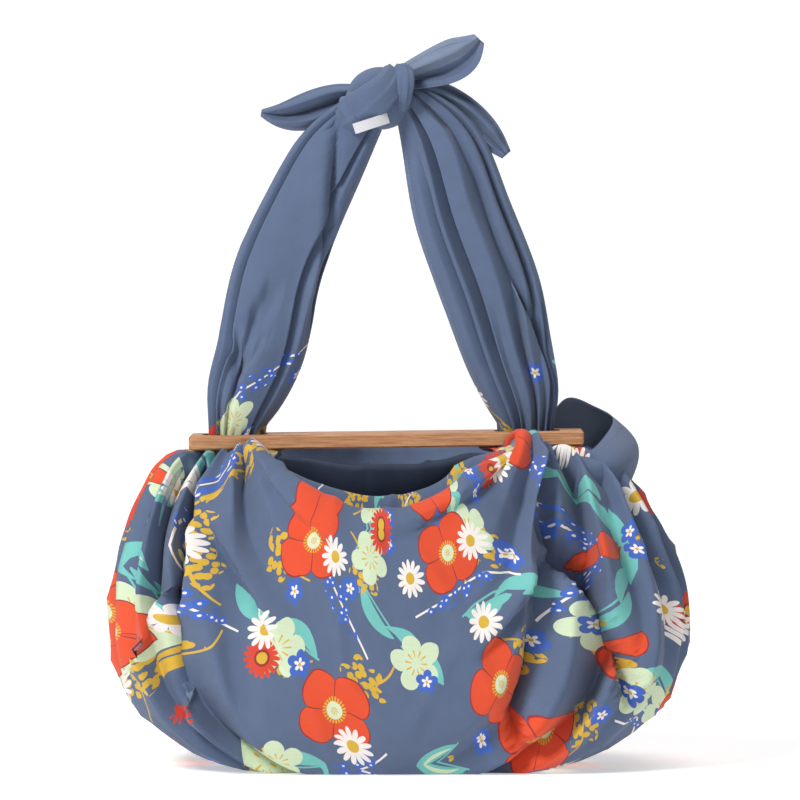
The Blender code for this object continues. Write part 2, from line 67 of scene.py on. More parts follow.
# Across the cloth, from the front hem round the outside to the back hem. Degrees round the
# gather: 0 faces the other gather, -90 the front and -180 the outer side.
LINES = (
    ("front_hem", -8), ("front_inner_ridge", -18), ("front_inner_valley", -29), ("front_rim", -41),
    ("front_panel", -66), ("front", -97), ("front_corner", -138), ("outer", -180),
    ("back_corner", -222), ("back", -263), ("back_panel", -294), ("back_rim", -319),
    ("back_inner_valley", -331), ("back_inner_ridge", -342), ("back_hem", -352),
)
LINE_NAMES = [name for name, _ in LINES]
LINE_ANGLES = np.array([angle for _, angle in LINES], float)
SIDES = {"left": 1.0, "right": -1.0}

# Handle straps, from the knot down to the bar: centre, half-width across and half-depth
StrapRing = namedtuple("StrapRing", "x y z half_width half_depth")
STRAPS = {
    "left": (
        StrapRing(-12, 4, 503, 15, 9),
        StrapRing(-36, 2, 474, 26, 12),
        StrapRing(-64, 0, 423, 31, 15),
        StrapRing(-86, 0, 366, 34, 17),
        StrapRing(-98, 0, 310, 33, 17),
        StrapRing(-112, 0, 272, 26, 15),
    ),
    "right": (
        StrapRing(16, 3, 510, 13, 9),
        StrapRing(37, 1, 481, 28, 12),
        StrapRing(56, 0, 425, 37, 16),
        StrapRing(79, 0, 362, 38, 18),
        StrapRing(95, 0, 306, 33, 17),
        StrapRing(105, 0, 272, 26, 15),
    ),
}
THROAT_HALF_LENGTH = 20.0
THROAT_HALF_WIDTH = 11.0
LIP_HALF_LENGTH = 23.0
LIP_HALF_WIDTH = 15.5
LIP_DROP = 4.0
EAVES_HALF_LENGTH = 37.0
EAVES_HALF_WIDTH = 34.0
EAVES_DROP = 2.2

# The bag at each station from a gather to the middle: where seven of the lines pass, as x, y, z,
# and how much of the full roll the border makes there
Station = namedtuple("Station", "front_rim front_panel front outer back back_panel back_rim roll")
STATIONS = {
    "left": (
        Station((-88, -42, 235), (-104, -49, 250), (-124, -46, 240), (-170, 0, 232),
                (-118, 48, 236), (-106, 48, 238), (-96, 44, 238), 0.15),
        Station((-70, -76, 214), (-92, -88, 196), (-140, -90, 172), (-199, 0, 184),
                (-140, 90, 170), (-92, 88, 200), (-62, 62, 237), 0.7),
        Station((-42, -86, 201), (-66, -106, 140), (-128, -104, 100), (-211, 0, 104),
                (-128, 104, 100), (-62, 104, 150), (-38, 66, 236), 1.0),
        Station((-24, -88, 197), (-44, -114, 100), (-104, -106, 36), (-192, 0, 44),
                (-104, 102, 36), (-44, 108, 120), (-24, 66, 235), 1.0),
        Station((-10, -88, 196), (-20, -116, 84), (-58, -92, 1), (-112, 0, -2),
                (-58, 88, 1), (-20, 108, 105), (-10, 66, 235), 1.0),
    ),
    "middle": (
        Station((4, -88, 195), (4, -116, 80), (6, -90, -4), (6, 0, -6),
                (6, 88, -4), (4, 108, 100), (2, 66, 235), 1.0),
    ),
    "right": (
        Station((90, -42, 238), (104, -50, 258), (122, -48, 248), (172, 0, 228),
                (120, 48, 238), (106, 48, 240), (92, 44, 239), 0.15),
        Station((72, -72, 228), (92, -88, 200), (132, -90, 172), (211, 0, 182),
                (140, 92, 170), (92, 88, 200), (72, 60, 239), 0.7),
        Station((52, -82, 213), (76, -106, 145), (136, -104, 96), (231, 0, 118),
                (136, 104, 96), (76, 104, 150), (48, 64, 238), 1.0),
        Station((34, -86, 202), (54, -114, 100), (112, -106, 36), (208, 0, 46),
                (112, 102, 36), (54, 108, 118), (30, 66, 236), 1.0),
        Station((18, -88, 197), (26, -116, 84), (66, -92, 1), (128, 0, -1),
                (66, 88, 1), (26, 108, 104), (14, 66, 235), 1.0),
    ),
}
CORNER_FULLNESS = 0.76

# How the border is rolled into the mouth, from the rim: inward, upward
ROLLS = {
    "front_rim": {
        "front_inner_valley": (13, -15), "front_inner_ridge": (25, 12), "front_hem": (34, -24),
    },
    "back_rim": {
        "back_inner_valley": (12, -14), "back_inner_ridge": (26, -8), "back_hem": (28, -42),
    },
}

# Pleats that fan out from a gather: degrees round it, half-width in degrees, depth in the strap,
# in the hole and in the bag, how far up and down from the bar they run, and the lean of the fold.
# Those at the back are the same on both sides.
Pleat = namedtuple("Pleat", "angle half_width strap hole bag up down lean")
BACK_PLEATS = (
    Pleat(-198, 9, 3, 3, 14, 160, 260, 5),
    Pleat(-216, 9, 8, 3, 7, 320, 180, 4),
    Pleat(-234, 9, 3, 3, 15, 180, 280, -5),
    Pleat(-252, 9, 8, 3, 9, 330, 220, 3),
    Pleat(-276, 10, 5, 2, 8, 280, 190, -4),
    Pleat(-302, 9, 6, 2, 4, 240, 130, 0),
)
PLEATS = {
    "left": (
        Pleat(-50, 8, 15, 4, 0, 330, 40, 2),
        Pleat(-72, 9, 0, 1, 9, 10, 150, 5),
        Pleat(-90, 9, 0, 1, 3, 10, 120, 3),
        Pleat(-108, 9, 3, 3, 24, 120, 320, 10),
        Pleat(-126, 9, 2, 3, 17, 100, 300, 8),
        Pleat(-144, 9, 9, 3, 8, 330, 210, -4),
        Pleat(-162, 9, 2, 3, 15, 120, 260, -6),
        Pleat(-180, 9, 5, 2, 6, 260, 190, 3),
    ) + BACK_PLEATS,
    "right": (
        Pleat(-50, 8, 6, 3, 5, 260, 150, 2),
        Pleat(-72, 9, 14, 4, 7, 340, 170, 4),
        Pleat(-90, 9, 2, 2, 15, 120, 300, -7),
        Pleat(-108, 9, 10, 3, 25, 310, 340, 10),
        Pleat(-126, 9, 3, 3, 9, 140, 240, 4),
        Pleat(-144, 9, 9, 3, 9, 320, 240, 4),
        Pleat(-162, 9, 3, 3, 15, 120, 270, 6),
        Pleat(-180, 9, 6, 2, 5, 260, 180, 3),
    ) + BACK_PLEATS,
}

# Greatest depth of a pleat against the room it has to one side
PLEAT_STEEPNESS = 1.35

# Knot: a core, the band wrapped slantwise over its front and the small one beside it
KNOT_CENTRE = (-5, 2, 508)
KNOT_RADII = (26, 18, 24)
BandRing = namedtuple("BandRing", "x y z half_width half_depth turn")
KNOT_BANDS = (
    (
        BandRing(-31, 5, 491, 10, 6, 18),
        BandRing(-27, -11, 495, 14, 6, 24),
        BandRing(-16, -20, 502, 14, 6, 36),
        BandRing(-6, -22, 510, 13, 6, 45),
        BandRing(2, -17, 519, 11, 5, 50),
        BandRing(4, -6, 527, 8, 5, 52),
        BandRing(3, 7, 528, 6, 5, 52),
    ),
    (
        BandRing(11, 5, 529, 6, 4, 80),
        BandRing(13, -12, 527, 7, 4, 86),
        BandRing(14, -19, 519, 7, 4, 92),
        BandRing(13, -18, 509, 6, 4, 96),
        BandRing(11, -10, 501, 5, 4, 100),
    ),
)

# Free ends, from the knot to the tip: centre of the end, half-width, depth and number of its folds
TailRing = namedtuple("TailRing", "x y z half_width fold_depth")
Tail = namedtuple("Tail", "folds phase rings")
TAILS = (
    Tail(2.0, 0.0, (
        TailRing(-12, 8, 508, 9, 4),
        TailRing(-38, 8, 506, 13, 6),
        TailRing(-62, 5, 498, 14, 6),
        TailRing(-82, 2, 495, 9, 3),
        TailRing(-96, 1, 497, 2.5, 0.5),
    )),
    Tail(1.5, 0.25, (
        TailRing(6, 4, 521, 8, 4),
        TailRing(32, -2, 530, 14, 6),
        TailRing(48, -6, 536, 16, 5),
        TailRing(61, -8, 544, 13, 3),
        TailRing(70, -8, 553, 5, 1.5),
    )),
    Tail(2.5, 0.0, (
        TailRing(6, 2, 514, 8, 3),
        TailRing(30, 5, 511, 12, 4),
        TailRing(52, 6, 501, 13, 5),
        TailRing(69, 3, 488, 12, 4),
        TailRing(81, 0, 476, 9, 2.5),
        TailRing(91, -2, 465, 4, 1.0),
    )),
)

# Cup of slack cloth that stands up behind the right end of the bar: points down each rib, the first
# rib at the back and the last one under the bar's end
CupRib = namedtuple("CupRib", "rim bulge root")
CUP = (
    CupRib((126, 46, 262), (124, 60, 252), (128, 58, 226)),
    CupRib((138, 52, 277), (138, 66, 262), (140, 62, 228)),
    CupRib((156, 50, 273), (160, 66, 256), (158, 58, 222)),
    CupRib((172, 36, 265), (184, 46, 250), (178, 40, 218)),
    CupRib((172, 12, 258), (191, 12, 244), (184, 10, 212)),
    CupRib((164, -10, 248), (180, -26, 238), (176, -24, 208)),
    CupRib((154, -24, 240), (162, -42, 231), (158, -38, 205)),
    CupRib((142, -36, 236), (144, -47, 229), (140, -42, 205)),
)

# Folds pressed into the cloth, as x, z of their edges in the front view. The cloth rises to each
# edge and lies over the cloth beyond it, which sinks there: beyond is 1 for the right of the line,
# seen along it, and -1 for the left. starts tells how much of the fold its first point has.
Fold = namedtuple("Fold", "part beyond rise rise_width drop drop_width overlap starts points")
FOLDS = (
    Fold("bag", -1, 6, 14, 15, 13, 7, 1.0,
         ((-136, 236), (-139, 170), (-144, 119), (-146, 68), (-146, 20))),
    Fold("bag", -1, 6, 13, 8, 13, 5, 0.3, ((-131, 204), (-121, 179), (-103, 150), (-85, 114), (-66, 66))),
    Fold("bag", -1, 6, 12, 9, 14, 5, 0.2,
         ((-130, 198), (-147, 167), (-160, 146), (-178, 108), (-203, 58))),
    Fold("bag", 1, 8, 15, 8, 15, 6, 1.0,
         ((115, 238), (121, 204), (123, 178), (113, 152), (95, 128), (62, 86))),
    Fold("bag", -1, 5, 14, 4, 14, 3, 0.6, ((-104, 246), (-78, 214), (-44, 180), (-12, 160))),
    Fold("bag", 1, 5, 14, 4, 14, 3, 0.6, ((96, 246), (62, 216), (24, 192), (-10, 178))),
    Fold("bag", -1, 5, 10, 6, 12, 3, 0.2, ((148, 226), (166, 200), (186, 160), (205, 112))),
    Fold("strap", 1, 3.5, 12, 9, 6, 4, 0.8,
         ((-45, 484), (-47, 450), (-49, 416), (-53, 386), (-60, 351), (-67, 324), (-73, 304))),
    Fold("strap", -1, 4, 10, 6, 8, 3, 0.3, ((-90, 322), (-96, 309), (-106, 296), (-115, 279))),
    Fold("strap", 1, 3.5, 12, 8, 8, 3.5, 0.8,
         ((41, 484), (55, 461), (64, 440), (76, 401), (91, 368), (106, 336), (119, 304), (127, 272))),
    Fold("mouth", -1, 4, 5, 4, 6, 0, 0.3, ((-84, 234), (-47, 229), (-25, 232), (12, 229), (58, 233))),
    Fold("mouth", -1, 5, 5, 4, 6, 0, 0.3, ((-74, 219), (-45, 218), (-25, 226), (-3, 221), (34, 216))),
)

# Deep valleys between folds, whose lips close in over them
Groove = namedtuple("Groove", "part depth half_width lips points")
GROOVES = (
    Groove("bag", 46, 8, 5, ((119, 210), (127, 186), (144, 154), (160, 125), (175, 87), (189, 48))),
    Groove("bag", 40, 7.5, 5, ((-150, 186), (-153, 167), (-156, 125), (-155, 87), (-149, 49))),
    Groove("bag", 26, 6, 3.5, ((112, 112), (110, 70), (101, 40), (102, 10))),
    Groove("bag", 6, 11, 0, ((-118, 150), (-112, 90), (-104, 30))),
    Groove("strap", 9, 5, 0, ((-41, 484), (-43, 450), (-45, 416), (-49, 386), (-56, 351), (-64, 322))),
    Groove("strap", 9, 5, 0,
           ((46, 484), (60, 461), (69, 440), (81, 401), (96, 368), (111, 336), (126, 296))),
    Groove("strap", 9, 6, 1, ((-119, 330), (-113, 303), (-117, 276))),
    Groove("strap", 5, 7, 0, ((-84, 372), (-92, 350), (-108, 330))),
)
FOLD_EDGE = {"bag": 2.4, "strap": 4.2, "mouth": 2.4}

# How much deeper than in the frame's solids the pleats are, and how far they may lie over sideways
PLEAT_GROWTH = 1.9
OVERLAP = 0.8
WRINKLE = 0.9
SLACK = 2.6

# Height and breadth of the sharp little creases that run over the bag
CRUMPLE = 2.4
CRUMPLE_WIDTH = 0.2

# How readily cloth that is wider than its place draws in, against being pushed out where it is short
GATHERED = 0.4

# How much it holds its square corners when it is pulled aslant
SKEW = 0.1

# Room between the sheet and what it lies on
CLEARANCE = 0.4

# Fineness of the small sheets and the knot's core, and how much of the upper right end is folded back
TAIL_ROWS, TAIL_COLUMNS = 46, 44
CUP_ROWS, CUP_COLUMNS = 60, 32
CORE_RINGS, CORE_AROUND = 24, 36
FOLDED_BACK = 0.45

# Places in the plain border, where the small sheets and the knot take their colour, and a distance
# from the hem at which nothing is stitched
PLAIN_PLACE = (600, 200)
KNOT_PLACE = 700
FAR_FROM_HEM = 50.0

# Width of the hem and half the width of its stitching, in metres
HEM_WIDTH = 0.0062
STITCH_HALF_WIDTH = 0.00035

# Width of the view in metres, where its middle lies (x and z) and the camera's sensor in millimetres
PICTURE_WIDTH = 800 * 0.7634 * MM
PICTURE_MIDDLE = (0.0099, 0.2779)
SENSOR = 36

# Paper sweep in metres: length and breadth of the floor, height of the wall and radius between them
FLOOR = (9, 6)
WALL_HEIGHT = 4.5
WALL_CURVE = 1.6

# Lights: place and size in metres, and share of the key light's power
LIGHT_AIM = (0, 0, 0.25)
LIGHTS = (
    ("key", (-1.6, -1.7, 2.2), 0.9, 1.0),
    ("front", (0.35, -3.1, 0.42), 0.8, 0.20),
    ("top", (0.4, 0.2, 2.4), 1.5, 0.30),
)

# Printed middle of the flat cloth, in metres
PRINT_HALF_WIDTH = 0.31
PRINT_LOW = -0.225
PRINT_HIGH = 0.115


def spline(knots, points, at):
    """A natural cubic spline through points, one for each knot, read at the values in at."""
    knots = np.asarray(knots, float)
    points = np.asarray(points, float)
    at = np.asarray(at, float)
    count = len(knots)
    step = np.diff(knots)
    shape = (-1,) + (1,) * (points.ndim - 1)
    slope = np.diff(points, axis=0) / step.reshape(shape)
    system = np.eye(count)
    right = np.zeros_like(points)
    for i in range(1, count - 1):
        system[i, i - 1:i + 2] = step[i - 1], 2 * (step[i - 1] + step[i]), step[i]
        right[i] = 6 * (slope[i] - slope[i - 1])
    curve = np.linalg.solve(system, right.reshape(count, -1)).reshape(points.shape)
    i = np.clip(np.searchsorted(knots, at, side="right") - 1, 0, count - 2)
    h = step[i].reshape(shape)
    a = (knots[i + 1] - at).reshape(shape) / h
    b = 1 - a
    bend = ((a ** 3 - a) * curve[i] + (b ** 3 - b) * curve[i + 1]) * h ** 2 / 6
    return a * points[i] + b * points[i + 1] + bend


def mean_knots(net, axis):
    """Knots along an axis of a net of points, spaced by the mean distance between neighbours."""
    gaps = np.linalg.norm(np.diff(net, axis=axis), axis=-1).mean(axis=1 - axis)
    return np.concatenate([[0], np.cumsum(gaps)])


def along(path, count):
    """A path of table rows smoothed to count rows, evenly spaced by the distance between them."""
    rows = np.array(path, float)
    knots = np.concatenate([[0], np.cumsum(np.linalg.norm(np.diff(rows[:, :3], axis=0), axis=1))])
    return spline(knots, rows, np.linspace(0, knots[-1], count))


def bar_height(x):
    """Height of the middle of the tilted bar at x."""
    return BAR_Z + (x - BAR_X) * math.tan(BAR_TILT)


def strap_row(side, ring, direction):
    """A row of the net round a strap, square to the direction in which the strap runs."""
    across = np.array([-direction[2], 0, direction[0]])
    across = across / np.linalg.norm(across) * np.sign(-direction[2])
    angle = np.radians(LINE_ANGLES)[:, None]
    centre = np.array([ring.x, ring.y, ring.z], float)
    return (centre + SIDES[side] * np.cos(angle) * ring.half_width * across
            + np.sin(angle) * ring.half_depth * np.array([0, 1, 0]))


def station_row(station):
    """A row of the net round the bag, from the seven lines of a station."""
    at = {name: np.array(getattr(station, name), float)
          for name in Station._fields if name != "roll"}
    for face in ("front", "back"):
        edge, outer = at[face], at["outer"]
        middle = np.array([edge[0], 0, (edge[2] + outer[2]) / 2])
        at[f"{face}_corner"] = middle + CORNER_FULLNESS * (edge + outer - 2 * middle)
        inward = 1 if face == "front" else -1
        for name, (deep, up) in ROLLS[f"{face}_rim"].items():
            at[name] = at[f"{face}_rim"] + station.roll * np.array([0, inward * deep, up])
    return np.array([at[name] for name in LINE_NAMES])


def gather_rows(side):
    """The rows of the net from the top of a strap, through the bar, to the last side station."""
    rings = list(STRAPS[side])
    hole = HOLE_X[side]
    middle = bar_height(hole)
    rings.append(StrapRing(hole, 0, middle, THROAT_HALF_LENGTH, THROAT_HALF_WIDTH))
    under = middle - BAR_THICKNESS / 2
    rings.append(StrapRing(hole, 0, under - LIP_DROP, LIP_HALF_LENGTH, LIP_HALF_WIDTH))
    rings.append(StrapRing(hole, 0, under - EAVES_DROP, EAVES_HALF_LENGTH, EAVES_HALF_WIDTH))
    centres = np.array([ring[:3] for ring in rings], float)
    directions = np.gradient(centres, axis=0)
    directions[-3:] = 0, 0, -1
    rows = [strap_row(side, ring, direction) for ring, direction in zip(rings, directions)]
    rows += [station_row(station) for station in STATIONS[side]]
    return rows


def control_net():
    """The net of points that the cloth is drawn over, from the left strap to the right one."""
    left, right = gather_rows("left"), gather_rows("right")
    middle = [station_row(station) for station in STATIONS["middle"]]
    return np.array(left + middle + right[::-1])


def normals_of(grid):
    """Unit normals of a grid of points, facing out of the bag."""
    normal = np.cross(np.gradient(grid, axis=1), np.gradient(grid, axis=0))
    return normal / np.maximum(np.linalg.norm(normal, axis=-1, keepdims=True), 1e-9)


def smooth_interp(at, knots, values):
    """Values between knots, with a soft start and end to every step."""
    i = np.clip(np.searchsorted(knots, at, side="right") - 1, 0, len(knots) - 2)
    t = np.clip((at - np.take(knots, i)) / (np.take(knots, i + 1) - np.take(knots, i)), 0, 1)
    t = t * t * (3 - 2 * t)
    return np.take(values, i) * (1 - t) + np.take(values, i + 1) * t


def clear_of_bar(grid, half):
    """The grid with its points moved out of the bar, below it or in front of and behind it."""
    out = grid.copy()
    x, y, z = out[..., 0], out[..., 1], out[..., 2]
    middle = bar_height(x)
    under = middle - BAR_THICKNESS / 2 - UNDER_BAR_GAP - half
    beside = BAR_DEPTH / 2 + BESIDE_BAR + half
    near = np.abs(x - BAR_X) < BAR_LENGTH / 2 + BESIDE_BAR + half
    in_hole = np.zeros(x.shape, bool)
    for hole in HOLE_X.values():
        in_hole |= (np.abs(x - hole) < THROAT_HALF_LENGTH + 1) & (np.abs(y) < THROAT_HALF_WIDTH + 1)
    level = near & ~in_hole & (z > under) & (z < middle + BAR_THICKNESS / 2 + BESIDE_BAR)
    below = level & (np.abs(y) < BAR_DEPTH / 2 + 1)
    z[below] = under[below]
    side = level & ~below & (np.abs(y) < beside)
    y[side] = np.sign(y[side]) * beside
    return out


def divided(knots, step):
    """The knots with even steps of about the given length between them."""
    parts = [np.linspace(a, b, max(1, round((b - a) / step)), endpoint=False)
             for a, b in zip(knots, knots[1:])]
    return np.append(np.concatenate(parts), knots[-1])


def column_knots(v_knots):
    """Where the cloth has its main lines and pleats, across it."""
    angles = [angle for angle in LINE_ANGLES if abs(angle + 180) > 130]
    for pleat in PLEATS["left"]:
        angles += [pleat.angle, pleat.angle - pleat.half_width]
    angles = sorted(set(-angle for angle in angles))
    kept = [a for a, b in zip(angles, angles[1:]) if b - a > 3] + [angles[-1]]
    return np.interp(kept, -LINE_ANGLES, v_knots)


def waves(points, size, seed):
    """Even, repeatable noise at each point, about -1 to 1."""
    flat = points.reshape(-1, 3) / size + seed
    return np.array([noise.noise(Vector(point)) for point in flat]).reshape(points.shape[:2])


def pleat_profile(x):
    """Section of a pleat from its crease at 0 to its edge at 1: a sharp crease, a rounded edge."""
    x = np.clip(x, 0, 1)
    return (1 - x) ** 1.25 * (1 + 0.6 * x)


def pleat_shift(grid, u, v, u_bars, v_knots):
    """Depth of the pleats at each point of the cloth, and how far they lean across it."""
    depth = np.zeros((len(u), len(v)))
    lean = np.zeros((len(u), len(v)))
    spread = np.linalg.norm(np.gradient(grid, v, axis=1), axis=-1)
    for side, pleats in PLEATS.items():
        away = (u - u_bars[side]) * SIDES[side]
        for pleat in pleats:
            run = smooth_interp(
                away,
                [-pleat.up, -pleat.up * 0.5, -30, 0, min(90, pleat.down / 2), pleat.down],
                [0, pleat.strap, pleat.strap * 0.8, pleat.hole, pleat.bag, 0],
            )
            reach = pleat.half_width
            start, at, end = np.interp([-pleat.angle - reach, -pleat.angle, -pleat.angle + reach],
                                       -LINE_ANGLES, v_knots)
            room = spread[:, np.argmin(np.abs(v - at))] * (end - start) / 2
            run = np.minimum(run * PLEAT_GROWTH, PLEAT_STEEPNESS * PLEAT_GROWTH * room)
            shape = pleat_profile(np.abs(v - at) / np.where(v < at, at - start, end - at))
            depth += run[:, None] * shape[None, :]
            leaning = run * pleat.lean / max(pleat.strap, pleat.bag)
            sideways = np.clip(leaning, -room * OVERLAP, room * OVERLAP)
            lean += sideways[:, None] * shape[None, :]
    return depth, lean


def beside_line(x, z, points):
    """How far each point is to the right of a line that runs down the front, and how far along it."""
    points = along(np.array(points, float), 30)
    lengths = np.linalg.norm(np.diff(points, axis=0), axis=1)
    starts = np.concatenate([[0], np.cumsum(lengths)])
    nearest = np.full(x.shape, 1e9)
    signed = np.zeros(x.shape)
    run = np.zeros(x.shape)
    for start, length, a, b in zip(starts, lengths, points, points[1:]):
        ahead = (b - a) / length
        t = np.clip((x - a[0]) * ahead[0] + (z - a[1]) * ahead[1], 0, length)
        dx, dz = x - a[0] - t * ahead[0], z - a[1] - t * ahead[1]
        far = np.hypot(dx, dz)
        closer = far < nearest
        nearest = np.where(closer, far, nearest)
        signed = np.where(closer, far * np.sign(ahead[0] * dz - ahead[1] * dx), signed)
        run = np.where(closer, (start + t) / starts[-1], run)
    return signed, run


def folded(grid, normal):
    """How far the folds push each point out, and how far they draw it to the right."""
    x, y, z = grid[..., 0], grid[..., 1], grid[..., 2]
    shown = {"bag": np.clip((-y - 35) / 30, 0, 1) * (z < 256),
             "strap": np.clip(-1.6 * normal[..., 1] - 0.3, 0, 1) * np.clip((z - 262) / 12, 0, 1),
             "mouth": -np.clip((y - 45) / 25, 0, 1) * np.clip((z - 150) / 20, 0, 1)}
    out, aside = np.zeros(x.shape), np.zeros(x.shape)
    for fold in FOLDS:
        right, run = beside_line(x, z, fold.points)
        fade = np.interp(run, (0, 0.2, 0.7, 1), (fold.starts, 1, 1, 0)) * shown[fold.part]
        past, before = np.maximum(right * fold.beyond, 0), np.minimum(right * fold.beyond, 0)
        edge = np.exp(-(past / FOLD_EDGE[fold.part]) ** 2)
        raised = fold.rise * edge * np.exp(-(before / fold.rise_width) ** 2)
        sunk = fold.drop * (1 - edge) * np.exp(-(past / fold.drop_width) ** 2)
        out += fade * (raised - sunk)
        near = np.exp(-(before / fold.rise_width * 2) ** 2)
        aside += fade * fold.beyond * fold.overlap * edge * near
    for groove in GROOVES:
        right, run = beside_line(x, z, groove.points)
        fade = np.interp(run, (0, 0.25, 0.8, 1), (0, 1, 1, 0)) * shown[groove.part]
        out -= fade * groove.depth * np.exp(-(right / groove.half_width) ** 4)
        beside = (np.abs(right) - groove.half_width) / 6
        aside -= fade * np.sign(right) * groove.lips * np.exp(-beside ** 2)
    return out, aside


def flat_places(grid, start=None, steps=900):
    """Where each point of the grid lies on the flat cloth, in millimetres. Cloth doesn't stretch,
    so an edge that is too short is pushed out; where it is long, the rest hides in small folds."""
    rows, columns = grid.shape[:2]
    middle = rows // 2
    down = np.linalg.norm(np.diff(grid, axis=1), axis=-1)
    side = np.linalg.norm(np.diff(grid, axis=0), axis=-1)
    slant = np.linalg.norm(grid[1:, 1:] - grid[:-1, :-1], axis=-1)
    slope = np.linalg.norm(grid[1:, :-1] - grid[:-1, 1:], axis=-1)
    if start is None:
        across = np.concatenate([[0], np.cumsum(down[middle])])
        lengthwise = np.concatenate([np.zeros((1, columns)), np.cumsum(side, axis=0)], axis=0)
        flat = np.stack([lengthwise - lengthwise[middle],
                         np.broadcast_to(across[columns // 4] - across, (rows, columns))], axis=-1)
    else:
        flat = start.copy()
    edges = ((slice(0, -1), slice(None), slice(1, None), slice(None), side, 1.0),
             (slice(None), slice(0, -1), slice(None), slice(1, None), down, 1.0),
             (slice(0, -1), slice(0, -1), slice(1, None), slice(1, None), slant, SKEW),
             (slice(0, -1), slice(1, None), slice(1, None), slice(0, -1), slope, SKEW))
    for _ in range(steps):
        move = np.zeros_like(flat)
        count = np.zeros((rows, columns, 1))
        for a, b, c, d, length, share in edges:
            gap = flat[c, d] - flat[a, b]
            far = np.maximum(np.linalg.norm(gap, axis=-1, keepdims=True), 1e-6)
            excess = 1 - length[..., None] / far
            pull = gap * np.where(excess > 0, excess * GATHERED, excess) / 2 * share
            move[a, b] += pull
            move[c, d] -= pull
            count[a, b] += share
            count[c, d] += share
        flat += 1.6 * move / count
    return flat


def refined(values, u, v, u_fine, v_fine):
    """Values on a coarse grid read on a fine one."""
    across = np.stack([np.stack([np.interp(v_fine, v, row[:, k]) for row in values])
                       for k in range(values.shape[-1])], axis=-1)
    columns = range(len(v_fine))
    return np.stack([np.stack([np.interp(u_fine, u, across[:, j, k]) for j in columns], axis=1)
                     for k in range(values.shape[-1])], axis=-1)


def smooth_surface(u, v, u_knots, v_knots, net):
    """Points of the middle of the cloth at rows u and columns v, before its pleats and folds."""
    return spline(v_knots, spline(u_knots, net, u).swapaxes(0, 1), v).swapaxes(0, 1)


def cloth_surface(u, v, u_knots, v_knots, net):
    """The same points with the pleats and folds made."""
    grid = smooth_surface(u, v, u_knots, v_knots, net)
    at_hole = len(STRAPS["left"])
    u_bars = {"left": u_knots[at_hole], "right": u_knots[-1 - at_hole]}
    normal = normals_of(grid)
    depth, lean = pleat_shift(grid, u, v, u_bars, v_knots)
    out, aside = folded(grid, normal)
    across = np.gradient(grid, axis=1)
    across /= np.maximum(np.linalg.norm(across, axis=-1, keepdims=True), 1e-9)
    free = np.clip(np.minimum(u - u_bars["left"], u_bars["right"] - u) / 60, 0.15, 1)[:, None]
    ease = free * np.clip((grid[..., 2] - 2) / 20, 0, 1)
    creases = np.clip(1 - np.abs(waves(grid * (1, 1, 0.6), 52, 12.3)) / CRUMPLE_WIDTH, 0, 1) ** 1.5
    rough = WRINKLE * waves(grid, 22, 3.1) + SLACK * waves(grid, 58, 7.7) - CRUMPLE * creases
    grid = grid + normal * (out - depth - rough * ease)[..., None] + across * lean[..., None]
    grid[..., 0] += aside
    return grid


def finer(knots, step, wide, low, high):
    """The knots with steps of two lengths between them, the short ones from low to high."""
    parts = []
    for a, b in zip(knots, knots[1:]):
        length = step if low < (a + b) / 2 < high else wide
        parts.append(np.linspace(a, b, max(1, round((b - a) / length)), endpoint=False))
    return np.append(np.concatenate(parts), knots[-1])


def cloth_grid(row_step, column_step, half):
    """Points of the middle of the cloth from strap to strap, and their places on the flat cloth."""
    net = control_net()
    u_knots, v_knots = mean_knots(net, 0), mean_knots(net, 1)
    at_hole = len(STRAPS["left"])
    outer = v_knots[LINE_NAMES.index("outer")]
    u = finer(u_knots, row_step, row_step * 1.4, u_knots[at_hole - 1], u_knots[-at_hole])
    v = finer(column_knots(v_knots), column_step, column_step * 3.2, 0, outer)
    grid = cloth_surface(u, v, u_knots, v_knots, net)
    grid = clear_of_bar(grid, half)
    grid[..., 2] = np.maximum(grid[..., 2], half)
    places = rough_u = rough_v = None
    for step, steps in ((30.0, 4000), (16.0, 2500)):
        u_few, v_few = divided(u_knots, step), divided(column_knots(v_knots), step * 0.45)
        if places is not None:
            places = refined(places, rough_u, rough_v, u_few, v_few)
        places = flat_places(smooth_surface(u_few, v_few, u_knots, v_knots, net), places, steps)
        rough_u, rough_v = u_few, v_few
    flat = refined(places, rough_u, rough_v, u, v)
    return grid, flat


def sheet_mesh(grid, flat, thickness):
    """Vertices, faces, flat places and sides of a grid made into a closed sheet."""
    rows, columns = grid.shape[:2]
    normal = normals_of(grid) * thickness / 2
    points = np.concatenate([(grid + normal).reshape(-1, 3), (grid - normal).reshape(-1, 3)])
    points[:, 2] = np.maximum(points[:, 2], 0)
    places = np.concatenate([flat.reshape(-1, 2)] * 2)
    under = rows * columns
    i, j = np.meshgrid(np.arange(rows - 1), np.arange(columns - 1), indexing="ij")
    a = (i * columns + j).ravel()
    front = np.stack([a, a + 1, a + columns + 1, a + columns], axis=1)
    back = front[:, [0, 3, 2, 1]] + under
    rim = np.concatenate([np.arange(rows) * columns, (rows - 1) * columns + np.arange(1, columns),
                          np.arange(rows - 2, -1, -1) * columns + columns - 1,
                          np.arange(columns - 2, 0, -1)])
    ahead = np.roll(rim, -1)
    edge = np.stack([rim, ahead, ahead + under, rim + under], axis=1)
    faces = np.concatenate([front, back, edge])
    sides = np.concatenate([np.zeros(len(front)), np.ones(len(back)), np.zeros(len(edge))]).astype(int)
    return points, faces, places, sides


